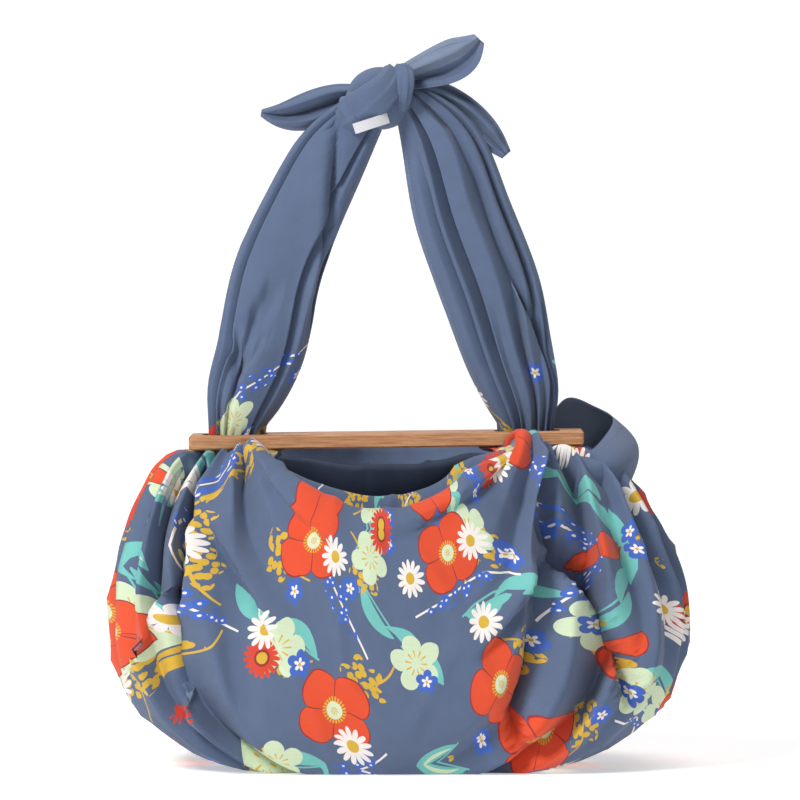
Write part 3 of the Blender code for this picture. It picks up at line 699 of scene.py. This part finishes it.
def new_piece(name, points, faces, places=None, sides=None, hem=None):
    """A mesh object from points in millimetres, with its flat places as its UV map."""
    mesh = bpy.data.meshes.new(name)
    mesh.from_pydata([tuple(point) for point in np.asarray(points) * MM], [],
                     [tuple(int(k) for k in face) for face in faces])
    if sides is not None:
        mesh.polygons.foreach_set("material_index", sides)
    if places is not None:
        corner = np.empty(len(mesh.loops), dtype=int)
        mesh.loops.foreach_get("vertex_index", corner)
        flat = mesh.uv_layers.new(name="flat")
        flat.data.foreach_set("uv", (np.asarray(places) * MM)[corner].ravel())
    if hem is not None:
        to_hem = mesh.attributes.new("hem", "FLOAT", "POINT")
        to_hem.data.foreach_set("value", np.asarray(hem) * MM)
    mesh.shade_smooth()
    shell = bmesh.new()
    shell.from_mesh(mesh)
    bmesh.ops.recalc_face_normals(shell, faces=shell.faces)
    shell.to_mesh(mesh)
    shell.free()
    obj = bpy.data.objects.new(name, mesh)
    bpy.context.scene.collection.objects.link(obj)
    return obj


def tube_mesh(rings):
    """Vertices and faces of a closed tube through rings of points."""
    rings = np.asarray(rings)
    count, around = rings.shape[:2]
    faces = [tuple(range(around - 1, -1, -1)), tuple(range((count - 1) * around, count * around))]
    for i in range(count - 1):
        for j in range(around):
            k = (j + 1) % around
            faces.append((i * around + j, i * around + k, (i + 1) * around + k, (i + 1) * around + j))
    return rings.reshape(-1, 3), faces


def band_mesh(path, count=70, around=56, creases=7, pleats=4):
    """A flat, full band of cloth along a path of the knot: creases run along it, and pleats cross
    its lower end, where it is pulled tight."""
    rows = along(path, count)
    tangent = np.gradient(rows[:, :3], axis=0)
    tangent /= np.linalg.norm(tangent, axis=1, keepdims=True)
    turn = np.radians(rows[:, 5])
    wide = np.stack([-np.sin(turn), 0 * turn, np.cos(turn)], axis=1)
    wide -= tangent * (wide * tangent).sum(axis=1, keepdims=True)
    wide /= np.linalg.norm(wide, axis=1, keepdims=True)
    deep = np.cross(tangent, wide)
    angle = np.linspace(0, 2 * np.pi, around, endpoint=False)
    rings = []
    for k, (row, w, d) in enumerate(zip(rows, wide, deep)):
        run = k / (count - 1)
        fade = 1.3 - 0.7 * math.sin(math.pi * run)
        crease = np.modf(angle * creases / (2 * np.pi) + 0.3 * run)[0]
        swell = 1 + 0.34 * fade * ((1 - crease) ** 1.4 - 0.6)
        place = run * 2.6 * pleats + 0.10 * np.cos(angle)
        step = np.modf(np.clip(place, 0, pleats))[0] * (place < pleats)
        swell = swell + 0.5 * (1 - step) ** 1.5 * (place < pleats) * min(1, run * 9)
        rings.append(row[:3] + np.outer(np.cos(angle) * row[3] * (1 + 0.3 * (swell - 1)), w)
                     + np.outer(np.sin(angle) * row[4] * swell, d))
    return tube_mesh(rings)


def tail_grid(tail, rows, columns):
    """Points of a free end: folds that run along it, spread in the middle and drawn to a tip."""
    path = along(tail.rings, rows)
    tangent = np.gradient(path[:, :3], axis=0)
    across = np.stack([-tangent[:, 2], 0 * tangent[:, 1], tangent[:, 0]], axis=1)
    across /= np.linalg.norm(across, axis=1, keepdims=True)
    t = np.linspace(-1, 1, columns)
    turn = 2 * np.pi * (t * tail.folds / 2 + tail.phase)
    fold = 0.5 * np.cos(turn) + np.arcsin(np.cos(turn) * 0.999) / np.pi
    fold = fold + 0.16 * np.cos(turn * 2.7 + 1.0)
    grid = (path[:, None, :3] + across[:, None] * (t[None, :] * path[:, 3:4])[..., None]
            + np.array([0, 1.0, 0]) * (fold[None, :] * path[:, 4:5])[..., None])
    grid[..., 1] += 1.3 * waves(grid, 14, 5.5)
    return grid


def turned_back(tail, sides, rows, columns):
    """Sides of a free end's faces, with the reverse in front where the end is folded back."""
    column = np.tile(np.arange(columns - 1), 2 * (rows - 1))
    faced = column < columns * FOLDED_BACK if tail is TAILS[1] else column >= 0
    sides = sides.copy()
    sides[:len(column)][faced] ^= 1
    return sides


def cup_grid(rows, columns):
    """Points of the slack cloth that stands up behind the right end of the bar as an open cup."""
    ribs = np.array(CUP, float)
    down, round_rim = mean_knots(ribs, 1), mean_knots(ribs, 0)
    grid = spline(round_rim, ribs, np.linspace(0, round_rim[-1], rows)).swapaxes(0, 1)
    return spline(down, grid, np.linspace(0, down[-1], columns)).swapaxes(0, 1)


def plain_places(grid):
    """Flat places of a small sheet, put in the plain border of the cloth."""
    left, top = PLAIN_PLACE
    rows, columns = grid.shape[:2]
    steps = np.linalg.norm(np.diff(grid[:, columns // 2], axis=0), axis=-1)
    run = np.concatenate([[0], np.cumsum(steps)])
    across = np.linalg.norm(np.diff(grid, axis=1), axis=-1)
    across = np.concatenate([np.zeros((rows, 1)), np.cumsum(across, axis=1)], axis=1)
    return np.stack([left + np.repeat(run[:, None], columns, axis=1), top - across], axis=-1)


def edge_distance(flat, open_edges):
    """Distance along the cloth from each point to the nearest of the named edges of its grid."""
    rows, columns = flat.shape[:2]
    step = np.linalg.norm(np.diff(flat, axis=1), axis=-1)
    across = np.concatenate([np.zeros((rows, 1)), np.cumsum(step, axis=1)], axis=1)
    step = np.linalg.norm(np.diff(flat, axis=0), axis=-1)
    down = np.concatenate([np.zeros((1, columns)), np.cumsum(step, axis=0)], axis=0)
    choices = {"first": across, "last": across[:, -1:] - across, "end": down[-1:] - down}
    return np.minimum.reduce([choices[name] for name in open_edges])


def hemmed_sheet(grid, thickness, open_edges):
    """A small closed sheet of plain cloth, with the distance of its points from the hem."""
    flat = plain_places(grid)
    hem = np.tile(edge_distance(flat, open_edges).ravel(), 2)
    return *sheet_mesh(grid, flat, thickness), hem


def knot_piece(name, points, faces, places):
    """A piece of the knot, plain and without a hem."""
    return new_piece(name, points, faces, places, None, np.full(len(points), FAR_FROM_HEM))


def deselect():
    """Leave nothing selected for the next operator."""
    bpy.ops.object.select_all(action="DESELECT")


def tone(red, green, blue):
    """A colour in 0 to 255, as a screen shows it, made linear."""
    def linear(value):
        value /= 255
        return value / 12.92 if value <= 0.04045 else ((value + 0.055) / 1.055) ** 2.4
    return linear(red), linear(green), linear(blue), 1.0


class Sum:
    """A number socket that adds its Math nodes as it is used in an expression."""

    def __init__(self, finish, socket):
        self.finish = finish
        self.socket = socket

    def math(self, operation, *values):
        return self.finish.node("ShaderNodeMath", {"operation": operation},
                                {i: value for i, value in enumerate((self, *values))})

    def flipped(self, operation, value):
        return self.finish.node("ShaderNodeMath", {"operation": operation}, {0: value, 1: self})

    def __add__(self, other):
        return self.math("ADD", other)

    def __sub__(self, other):
        return self.math("SUBTRACT", other)

    def __rsub__(self, other):
        return self.flipped("SUBTRACT", other)

    def __mul__(self, other):
        return self.math("MULTIPLY", other)

    def __truediv__(self, other):
        return self.math("DIVIDE", other)

    def __pow__(self, other):
        return self.math("POWER", other)

    def __lt__(self, other):
        return self.math("LESS_THAN", other)

    def __gt__(self, other):
        return self.math("GREATER_THAN", other)

    __radd__ = __add__
    __rmul__ = __mul__

    def abs(self):
        return self.math("ABSOLUTE")

    def sin(self):
        return self.math("SINE")

    def cos(self):
        return self.math("COSINE")

    def most(self, other):
        return self.math("MAXIMUM", other)

    def ramp(self, low, high):
        """From 0 at low to 1 at high, held beyond them."""
        return self.finish.node("ShaderNodeMapRange", {"interpolation_type": "SMOOTHSTEP"},
                                {"Value": self, "From Min": low, "From Max": high})


class Finish:
    """A material in the making."""

    def __init__(self, name, roughness, sheen=0.0):
        self.material = bpy.data.materials.new(name)
        self.material.use_nodes = True
        self.tree = self.material.node_tree
        self.shader = self.tree.nodes["Principled BSDF"]
        self.shader.inputs["Roughness"].default_value = roughness
        self.shader.inputs["Sheen Weight"].default_value = sheen
        self.shader.inputs["Sheen Roughness"].default_value = 0.5

    def put(self, socket, value):
        if isinstance(value, Sum):
            self.tree.links.new(value.socket, socket)
        else:
            socket.default_value = value

    def node(self, kind, settings=None, inputs=None, output=0):
        node = self.tree.nodes.new(kind)
        for key, value in (settings or {}).items():
            setattr(node, key, value)
        for key, value in (inputs or {}).items():
            self.put(node.inputs[key], value)
        return Sum(self, node.outputs[output])

    def other(self, value, output):
        """Another output of the node that a value comes from."""
        return Sum(self, value.socket.node.outputs[output])

    def mix(self, mask, base, top):
        return self.node("ShaderNodeMix", {"data_type": "RGBA"}, {0: mask, 6: base, 7: top}, 2)

    def vector(self, operation, a, b):
        return self.node("ShaderNodeVectorMath", {"operation": operation}, {0: a, 1: b})

    def parts(self, vector):
        x = self.node("ShaderNodeSeparateXYZ", inputs={0: vector})
        return x, self.other(x, 1), self.other(x, 2)

    def noise(self, vector, scale, detail=2.0, roughness=0.5):
        return self.node("ShaderNodeTexNoise", inputs={
            "Vector": vector, "Scale": scale, "Detail": detail, "Roughness": roughness})

    def set(self, name, value):
        self.put(self.shader.inputs[name], value)

    def bump(self, height, distance, strength=1.0):
        self.set("Normal", self.node("ShaderNodeBump", inputs={
            "Height": height, "Distance": distance, "Strength": strength}))


class Motifs:
    """One layer of the print: a motif in each cell of an uneven lattice, each turned at random."""

    def __init__(self, finish, flat, pitch, shift, spread=0.75, share=1.0):
        moved = finish.vector("ADD", flat, (*shift, 0))
        cell = finish.node("ShaderNodeTexVoronoi", {"voronoi_dimensions": "2D"},
                           {"Vector": moved, "Scale": 1 / pitch, "Randomness": spread}, "Position")
        centre = finish.vector("SUBTRACT", cell, (*shift, 0))
        local = finish.vector("SUBTRACT", flat, centre)
        luck = finish.node("ShaderNodeSeparateColor", inputs={0: finish.other(cell, "Color")})
        self.other_luck = finish.other(luck, 1)
        x, y, _ = finish.parts(local)
        turn = luck * (2 * math.pi)
        self.x = x * turn.cos() + y * turn.sin()
        self.y = y * turn.cos() - x * turn.sin()
        self.far = (self.x * self.x + self.y * self.y) ** 0.5
        self.angle = self.y.math("ARCTAN2", self.x)
        cx, cy, _ = finish.parts(centre)
        inside = ((cx.abs() < PRINT_HALF_WIDTH) * (cy > PRINT_LOW) * (cy < PRINT_HIGH))
        self.shown = inside * (self.other_luck < share)

    def petals(self, count, radius, waist, sharp=1.0):
        """Mask of a flower of so many petals: waist is its radius between them."""
        lobe = (self.angle * (count / 2)).cos().abs() ** sharp
        return (self.far < lobe * (radius - waist) + waist) * self.shown

    def disc(self, radius):
        return (self.far < radius) * self.shown

    def leaf(self, start, length, width, bend=0.0):
        """Mask of a pointed leaf along the motif's x, from start."""
        t = (self.x - start) / length
        middle = t * (1 - t) * (4 * bend)
        half = ((t * (1 - t)).most(0.0) ** 0.8) * (3.0 * width)
        return ((self.y - middle).abs() < half) * self.shown

    def line(self, start, length, half, bend=0.0):
        """Mask of a stem along the motif's x."""
        t = (self.x - start) / length
        middle = t * (1 - t) * (4 * bend)
        return ((self.y - middle).abs() < half) * (t > 0.0) * (t < 1.0) * self.shown


def woven(finish, flat, pitch):
    """Height of a plain weave with so many metres to a pair of threads."""
    x, y, _ = finish.parts(flat)
    k = 2 * math.pi / pitch
    return (x * k).sin() * (y * k).sin()


def printed_colour(finish, flat, ground):
    """The ground of the cloth with its print of daisies, poppies, bells and leaves."""
    colour = ground
    mint, teal = tone(206, 222, 186), tone(112, 190, 182)
    mustard, white = tone(214, 172, 42), tone(240, 232, 226)
    blue, orange, wine = tone(58, 98, 188), tone(224, 72, 12), tone(146, 36, 28)

    boughs = Motifs(finish, flat, 0.104, (0.013, 0.041), 0.12, 0.85)
    leaves = boughs.leaf(0.002, 0.044, 0.0066, 0.006).most(boughs.leaf(-0.046, 0.042, 0.0060, -0.006))
    leaves = leaves.most(boughs.leaf(-0.014, 0.036, 0.0052, 0.010))
    colour = finish.mix(boughs.line(-0.048, 0.094, 0.0008, 0.004), colour, teal)
    colour = finish.mix(leaves, colour, teal)
    veins = boughs.leaf(0.008, 0.034, 0.0022, 0.005).most(boughs.leaf(-0.041, 0.030, 0.0020, -0.005))
    colour = finish.mix(veins * (boughs.other_luck < 0.4), colour, mint)

    sprays = Motifs(finish, flat, 0.070, (0.052, 0.006), 0.4, 0.7)
    dots = finish.node("ShaderNodeTexVoronoi", {"voronoi_dimensions": "2D"},
                       {"Vector": flat, "Scale": 1 / 0.0060, "Randomness": 0.7}, "Distance")
    cluster = (dots < 0.44) * sprays.petals(6, 0.0185, 0.0105)
    colour = finish.mix(sprays.line(-0.032, 0.034, 0.0008, 0.004), colour, mustard)
    colour = finish.mix(cluster, colour, mustard)

    berries = Motifs(finish, flat, 0.118, (0.071, 0.030), 0.15, 0.8)
    colour = finish.mix(berries.line(-0.046, 0.088, 0.0008, 0.005), colour, white)
    beads = finish.node("ShaderNodeTexVoronoi", {"voronoi_dimensions": "2D"},
                        {"Vector": flat, "Scale": 1 / 0.0078, "Randomness": 0.55}, "Distance")
    colour = finish.mix((beads < 0.43) * berries.leaf(-0.036, 0.066, 0.0085, 0.004), colour, blue)
    colour = finish.mix((beads < 0.12) * berries.leaf(-0.036, 0.066, 0.0085, 0.004), colour, white)

    clouds = Motifs(finish, flat, 0.093, (0.031, 0.077), 0.5, 0.7)
    colour = finish.mix(clouds.petals(5, 0.0205, 0.012, 0.7), colour, mint)
    rays = (clouds.angle * 10).cos() > 0.75
    colour = finish.mix(rays * (clouds.far > 0.004) * clouds.disc(0.009), colour, mustard)

    bells = Motifs(finish, flat, 0.052, (0.004, 0.019), 0.6, 0.55)
    colour = finish.mix(bells.petals(5, 0.0092, 0.0055, 0.7), colour, blue)
    colour = finish.mix(bells.petals(5, 0.0044, 0.0012), colour, white)
    colour = finish.mix(bells.disc(0.0012), colour, mustard)

    poppies = Motifs(finish, flat, 0.132, (0.093, 0.118), 0.3, 0.85)
    lobes = poppies.petals(4, 0.0310, 0.0205, 0.6)
    colour = finish.mix(lobes, colour, wine)
    colour = finish.mix(poppies.petals(4, 0.0298, 0.0196, 0.6), colour, orange)
    seams = (poppies.angle * 2).cos().abs() < 0.05
    colour = finish.mix(seams * (poppies.far > 0.009) * lobes, colour, wine)
    colour = finish.mix(poppies.disc(0.0092) * ((poppies.angle * 22).cos() > -0.2), colour, mustard)
    colour = finish.mix(poppies.disc(0.0062), colour, tone(216, 226, 190))
    colour = finish.mix(poppies.disc(0.0028) * ((poppies.angle * 9).cos() > 0.0), colour, mustard)

    asters = Motifs(finish, flat, 0.126, (0.021, 0.093), 0.5, 0.5)
    colour = finish.mix(asters.petals(17, 0.0150, 0.0085, 0.6), colour, tone(212, 60, 20))
    colour = finish.mix(asters.disc(0.0060), colour, wine)
    colour = finish.mix(asters.disc(0.0042), colour, mustard)

    daisies = Motifs(finish, flat, 0.068, (0.067, 0.059), 0.5, 0.6)
    colour = finish.mix(daisies.petals(13, 0.0142, 0.0052, 0.55), colour, white)
    colour = finish.mix(daisies.disc(0.0044), colour, mustard)
    return colour


def cotton(name, reverse):
    """The printed cotton: its face, or its paler reverse."""
    finish = Finish(name, 0.86, 0.12)
    flat = finish.node("ShaderNodeUVMap", {"uv_map": "flat"})
    cloud = finish.noise(flat, 60.0, 4.0, 0.6)
    slub = finish.noise(finish.vector("MULTIPLY", flat, (1, 14, 1)), 90.0, 3.0)
    if reverse:
        ground = finish.mix(cloud, tone(100, 114, 138), tone(120, 134, 156))
        colour = finish.mix(0.55, printed_colour(finish, flat, ground), ground)
    else:
        ground = finish.mix(cloud, tone(76, 92, 120), tone(89, 105, 134))
        colour = printed_colour(finish, flat, ground)
    hem = finish.node("ShaderNodeAttribute", {"attribute_name": "hem"}, output="Fac")
    x, y, _ = finish.parts(flat)
    stitch = ((hem - HEM_WIDTH).abs() < STITCH_HALF_WIDTH) * (((x + y) * 2400).sin() > -0.35)
    colour = finish.mix(stitch * 0.65, colour, tone(48, 62, 96))
    colour = finish.mix((hem < HEM_WIDTH) * 0.12, colour, tone(120, 138, 170))
    weave = woven(finish, flat, 0.0011)
    finish.set("Base Color", finish.mix(slub * 0.16, colour, tone(60, 76, 112)))
    finish.set("Roughness", cloud * 0.1 + 0.8)
    finish.bump(weave * 0.5 + slub * 0.8 + cloud * 1.4 - stitch * 1.5, 0.00035, 0.7)
    return finish.material


def oiled_wood(fineness):
    """Pale brown wood whose grain runs along the bar."""
    finish = Finish("oiled_wood", 0.5)
    place = finish.node("ShaderNodeTexCoord", output="Object")
    long_grain = finish.vector("MULTIPLY", place, (1.2, 22, 22))
    grain = finish.noise(long_grain, fineness, 6.0, 0.65)
    fleck = finish.noise(finish.vector("MULTIPLY", place, (6, 90, 90)), 60.0, 2.0)
    colour = finish.mix(grain.ramp(0.3, 0.72), tone(150, 96, 58), tone(202, 150, 104))
    colour = finish.mix(fleck.ramp(0.58, 0.72) * 0.45, colour, tone(112, 66, 40))
    finish.set("Base Color", colour)
    finish.set("Roughness", grain * 0.2 + 0.42)
    finish.bump(grain + fleck * 0.6, 0.0003, 0.5)
    return finish.material


def woven_tape():
    """Off-white tape of the blank label."""
    finish = Finish("woven_tape", 0.7, 0.1)
    flat = finish.node("ShaderNodeUVMap", {"uv_map": "flat"})
    weave = woven(finish, flat, 0.0009)
    finish.set("Base Color", finish.mix(weave * 0.5 + 0.5, tone(188, 191, 198), tone(216, 217, 220)))
    finish.bump(weave, 0.0002, 0.6)
    return finish.material


def studio_paper():
    """Pale paper of the floor and the wall behind."""
    finish = Finish("studio_paper", 0.9)
    place = finish.node("ShaderNodeTexCoord", output="Object")
    paper = finish.mix(finish.noise(place, 8.0), tone(236, 236, 236), tone(240, 240, 240))
    finish.set("Base Color", paper)
    finish.set("Emission Color", tone(255, 255, 255))
    finish.set("Emission Strength", 0.42)
    return finish.material


def dress(obj, *materials):
    """Give a piece its materials in place of any that it has; faces keep their slots."""
    if obj.data.materials:
        obj.data.materials.clear()
    for material in materials:
        obj.data.materials.append(material)


class ClothSettings(bpy.types.PropertyGroup):
    """Sizes of the cotton square and how finely it is made."""

    cut: bpy.props.FloatProperty(name="Side", description="Side of the square cloth when it lies flat",
                                 default=0.90, min=0.8, max=1.2, unit="LENGTH")
    thickness: bpy.props.FloatProperty(name="Thickness", description="Thickness of the cotton",
                                       default=0.0008, min=0.0003, max=0.002, unit="LENGTH")
    row_step: bpy.props.FloatProperty(name="Row step", description="Distance between rows of the mesh",
                                      default=0.0046, min=0.002, max=0.03, unit="LENGTH")
    column_step: bpy.props.FloatProperty(name="Column step", description="Distance between its columns",
                                         default=0.00125, min=0.0005, max=0.03, unit="LENGTH")


class BarSettings(bpy.types.PropertyGroup):
    """Finish of the wooden bar."""

    grain: bpy.props.FloatProperty(name="Grain", description="How fine the grain of the wood is",
                                   default=26.0, min=5.0, max=80.0)


class StageSettings(bpy.types.PropertyGroup):
    """Camera and light."""

    elevation: bpy.props.FloatProperty(name="Elevation", description="Angle that the camera looks down",
                                       default=math.radians(2.0), subtype="ANGLE")
    lens: bpy.props.FloatProperty(name="Lens", description="Focal length of the camera in millimetres",
                                  default=260.0, min=50, max=300)
    key_light: bpy.props.FloatProperty(name="Key light", description="Power of the large front light",
                                       default=86.0, min=0, subtype="POWER")
    room_light: bpy.props.FloatProperty(name="Room light", description="Strength of the even light",
                                        default=0.05, min=0)


class FUROSHIKI_OT_cloth(bpy.types.Operator):
    """Make the cotton square: straps, bag, knot, free ends and cup"""

    bl_idname = "furoshiki.cloth"
    bl_label = "Cloth"

    def execute(self, context):
        sizes = context.scene.furoshiki_cloth
        thick = sizes.thickness / MM
        deselect()
        face, reverse = cotton("cotton_face", False), cotton("cotton_reverse", True)
        grid, flat = cloth_grid(sizes.row_step / MM, sizes.column_step / MM, thick / 2 + CLEARANCE)
        hem = np.tile(edge_distance(flat, ("first", "last")).ravel(), 2)
        parts = [new_piece("cloth_square", *sheet_mesh(grid, flat, thick), hem)]
        for band in KNOT_BANDS:
            points, faces = band_mesh(band)
            parts.append(knot_piece("band", points, faces, points[:, [0, 2]] + (KNOT_PLACE, 0)))
        points, faces = tube_mesh(knot_core(CORE_RINGS, CORE_AROUND))
        parts.append(knot_piece("core", points, faces, points[:, [0, 2]] + KNOT_PLACE))
        for tail in TAILS:
            grid = tail_grid(tail, TAIL_ROWS, TAIL_COLUMNS)
            points, faces, places, sides, hem = hemmed_sheet(grid, thick, ("first", "last", "end"))
            sides = turned_back(tail, sides, TAIL_ROWS, TAIL_COLUMNS)
            parts.append(new_piece("tail", points, faces, places, sides, hem))
        grid = cup_grid(CUP_ROWS, CUP_COLUMNS)
        points, faces, places, sides, hem = hemmed_sheet(grid, thick, ("first",))
        parts.append(new_piece("cup", points, faces, places, 1 - sides, hem))
        for part in parts:
            dress(part, face, reverse)
            part.select_set(True)
        context.view_layer.objects.active = parts[0]
        bpy.ops.object.join()
        cloth = parts[0]
        cloth.name = cloth.data.name = "cloth_square"
        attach(cloth, "root")
        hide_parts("cloth")
        deselect()
        return {"FINISHED"}


def knot_core(rings, around):
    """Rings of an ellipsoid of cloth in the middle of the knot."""
    levels = np.linspace(0.04, 0.96, rings) * np.pi
    angle = np.linspace(0, 2 * np.pi, around, endpoint=False)
    shape = [[(np.sin(level) * np.cos(a), np.sin(level) * np.sin(a), np.cos(level)) for a in angle]
             for level in levels]
    return np.array(KNOT_CENTRE) + np.array(shape) * np.array(KNOT_RADII)


class FUROSHIKI_OT_bar(bpy.types.Operator):
    """Finish the wooden bar with its grain"""

    bl_idname = "furoshiki.bar"
    bl_label = "Wooden bar"

    def execute(self, context):
        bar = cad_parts["bar"]
        dress(bar, oiled_wood(context.scene.furoshiki_bar.grain))
        return {"FINISHED"}


class FUROSHIKI_OT_label(bpy.types.Operator):
    """Make the blank woven label under the knot's band"""

    bl_idname = "furoshiki.label"
    bl_label = "Label"

    def execute(self, context):
        deselect()
        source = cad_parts["label"]
        label = bpy.data.objects.new("label_tape", source.data.copy())
        context.scene.collection.objects.link(label)
        shell = bmesh.new()
        shell.from_mesh(label.data)
        bmesh.ops.remove_doubles(shell, verts=shell.verts, dist=1e-5)
        shell.to_mesh(label.data)
        shell.free()
        places = label.data.uv_layers.new(name="flat").data
        for loop, place in zip(label.data.loops, places):
            point = label.data.vertices[loop.vertex_index].co
            place.uv = (point.x, point.z)
        dress(label, woven_tape())
        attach(label, "root")
        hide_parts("label")
        return {"FINISHED"}


class FUROSHIKI_OT_stage(bpy.types.Operator):
    """Set the pale floor, the soft lights and the camera"""

    bl_idname = "furoshiki.stage"
    bl_label = "Stage"

    def execute(self, context):
        sizes = context.scene.furoshiki_stage
        deselect()
        bpy.ops.mesh.primitive_plane_add(size=1, location=(0, 0, 0))
        sweep = context.object
        sweep.name = "sweep"
        sweep.scale = (*FLOOR, 1)
        bpy.ops.object.transform_apply(scale=True)
        bpy.ops.object.mode_set(mode="EDIT")
        shell = bmesh.from_edit_mesh(sweep.data)
        for edge in shell.edges:
            edge.select = all(vert.co.y > 0 for vert in edge.verts)
        shell.select_flush_mode()
        bmesh.update_edit_mesh(sweep.data)
        bpy.ops.mesh.extrude_region_move(TRANSFORM_OT_translate={"value": (0, 0, WALL_HEIGHT)})
        bpy.ops.object.mode_set(mode="OBJECT")
        curve = sweep.modifiers.new("sweep", "BEVEL")
        curve.width = WALL_CURVE
        curve.segments = 24
        bpy.ops.object.modifier_apply(modifier="sweep")
        bpy.ops.object.shade_smooth()
        dress(sweep, studio_paper())
        world = bpy.data.worlds.new("studio")
        world.use_nodes = True
        world.node_tree.nodes["Background"].inputs["Color"].default_value = (1, 1, 1, 1)
        world.node_tree.nodes["Background"].inputs["Strength"].default_value = sizes.room_light
        context.scene.world = world
        for name, place, size, share in LIGHTS:
            bpy.ops.object.light_add(type="AREA", location=place)
            light = context.object
            light.name = name
            light.data.energy = sizes.key_light * share
            light.data.size = size
            aim = Vector(LIGHT_AIM) - Vector(place)
            light.rotation_euler = aim.to_track_quat("-Z", "Y").to_euler()
        bpy.ops.object.camera_add()
        camera = context.object
        camera.data.lens = sizes.lens
        camera.data.sensor_width = SENSOR
        distance = PICTURE_WIDTH * sizes.lens / SENSOR
        target = Vector((PICTURE_MIDDLE[0], 0, PICTURE_MIDDLE[1]))
        view = Vector((0, math.cos(sizes.elevation), -math.sin(sizes.elevation)))
        camera.location = target - view * distance
        camera.rotation_euler = view.to_track_quat("-Z", "Y").to_euler()
        camera.data.clip_end = 50
        context.scene.camera = camera
        context.scene.view_settings.view_transform = "Standard"
        deselect()
        return {"FINISHED"}


class FUROSHIKI_PT_panel(bpy.types.Panel):
    """Sizes and steps of the furoshiki bag"""

    bl_idname = "FUROSHIKI_PT_panel"
    bl_label = "Furoshiki Bag"
    bl_space_type = "VIEW_3D"
    bl_region_type = "UI"
    bl_category = "Furoshiki"

    def draw(self, context):
        for group in ("furoshiki_cloth", "furoshiki_bar", "furoshiki_stage"):
            settings = getattr(context.scene, group)
            box = self.layout.box()
            for name in settings.bl_rna.properties.keys():
                if name not in ("rna_type", "name"):
                    box.prop(settings, name)
        for operator in STEPS:
            self.layout.operator(operator.bl_idname)


STEPS = (FUROSHIKI_OT_cloth, FUROSHIKI_OT_bar, FUROSHIKI_OT_label, FUROSHIKI_OT_stage)
CLASSES = (ClothSettings, BarSettings, StageSettings, *STEPS, FUROSHIKI_PT_panel)


def register():
    for item in CLASSES:
        bpy.utils.register_class(item)
    bpy.types.Scene.furoshiki_cloth = bpy.props.PointerProperty(type=ClothSettings)
    bpy.types.Scene.furoshiki_bar = bpy.props.PointerProperty(type=BarSettings)
    bpy.types.Scene.furoshiki_stage = bpy.props.PointerProperty(type=StageSettings)


def unregister():
    for name in ("furoshiki_cloth", "furoshiki_bar", "furoshiki_stage"):
        delattr(bpy.types.Scene, name)
    for item in reversed(CLASSES):
        bpy.utils.unregister_class(item)


def main():
    register()
    bpy.ops.furoshiki.cloth()
    bpy.ops.furoshiki.bar()
    bpy.ops.furoshiki.label()
    bpy.ops.furoshiki.stage()


if __name__ == "__main__":
    main()
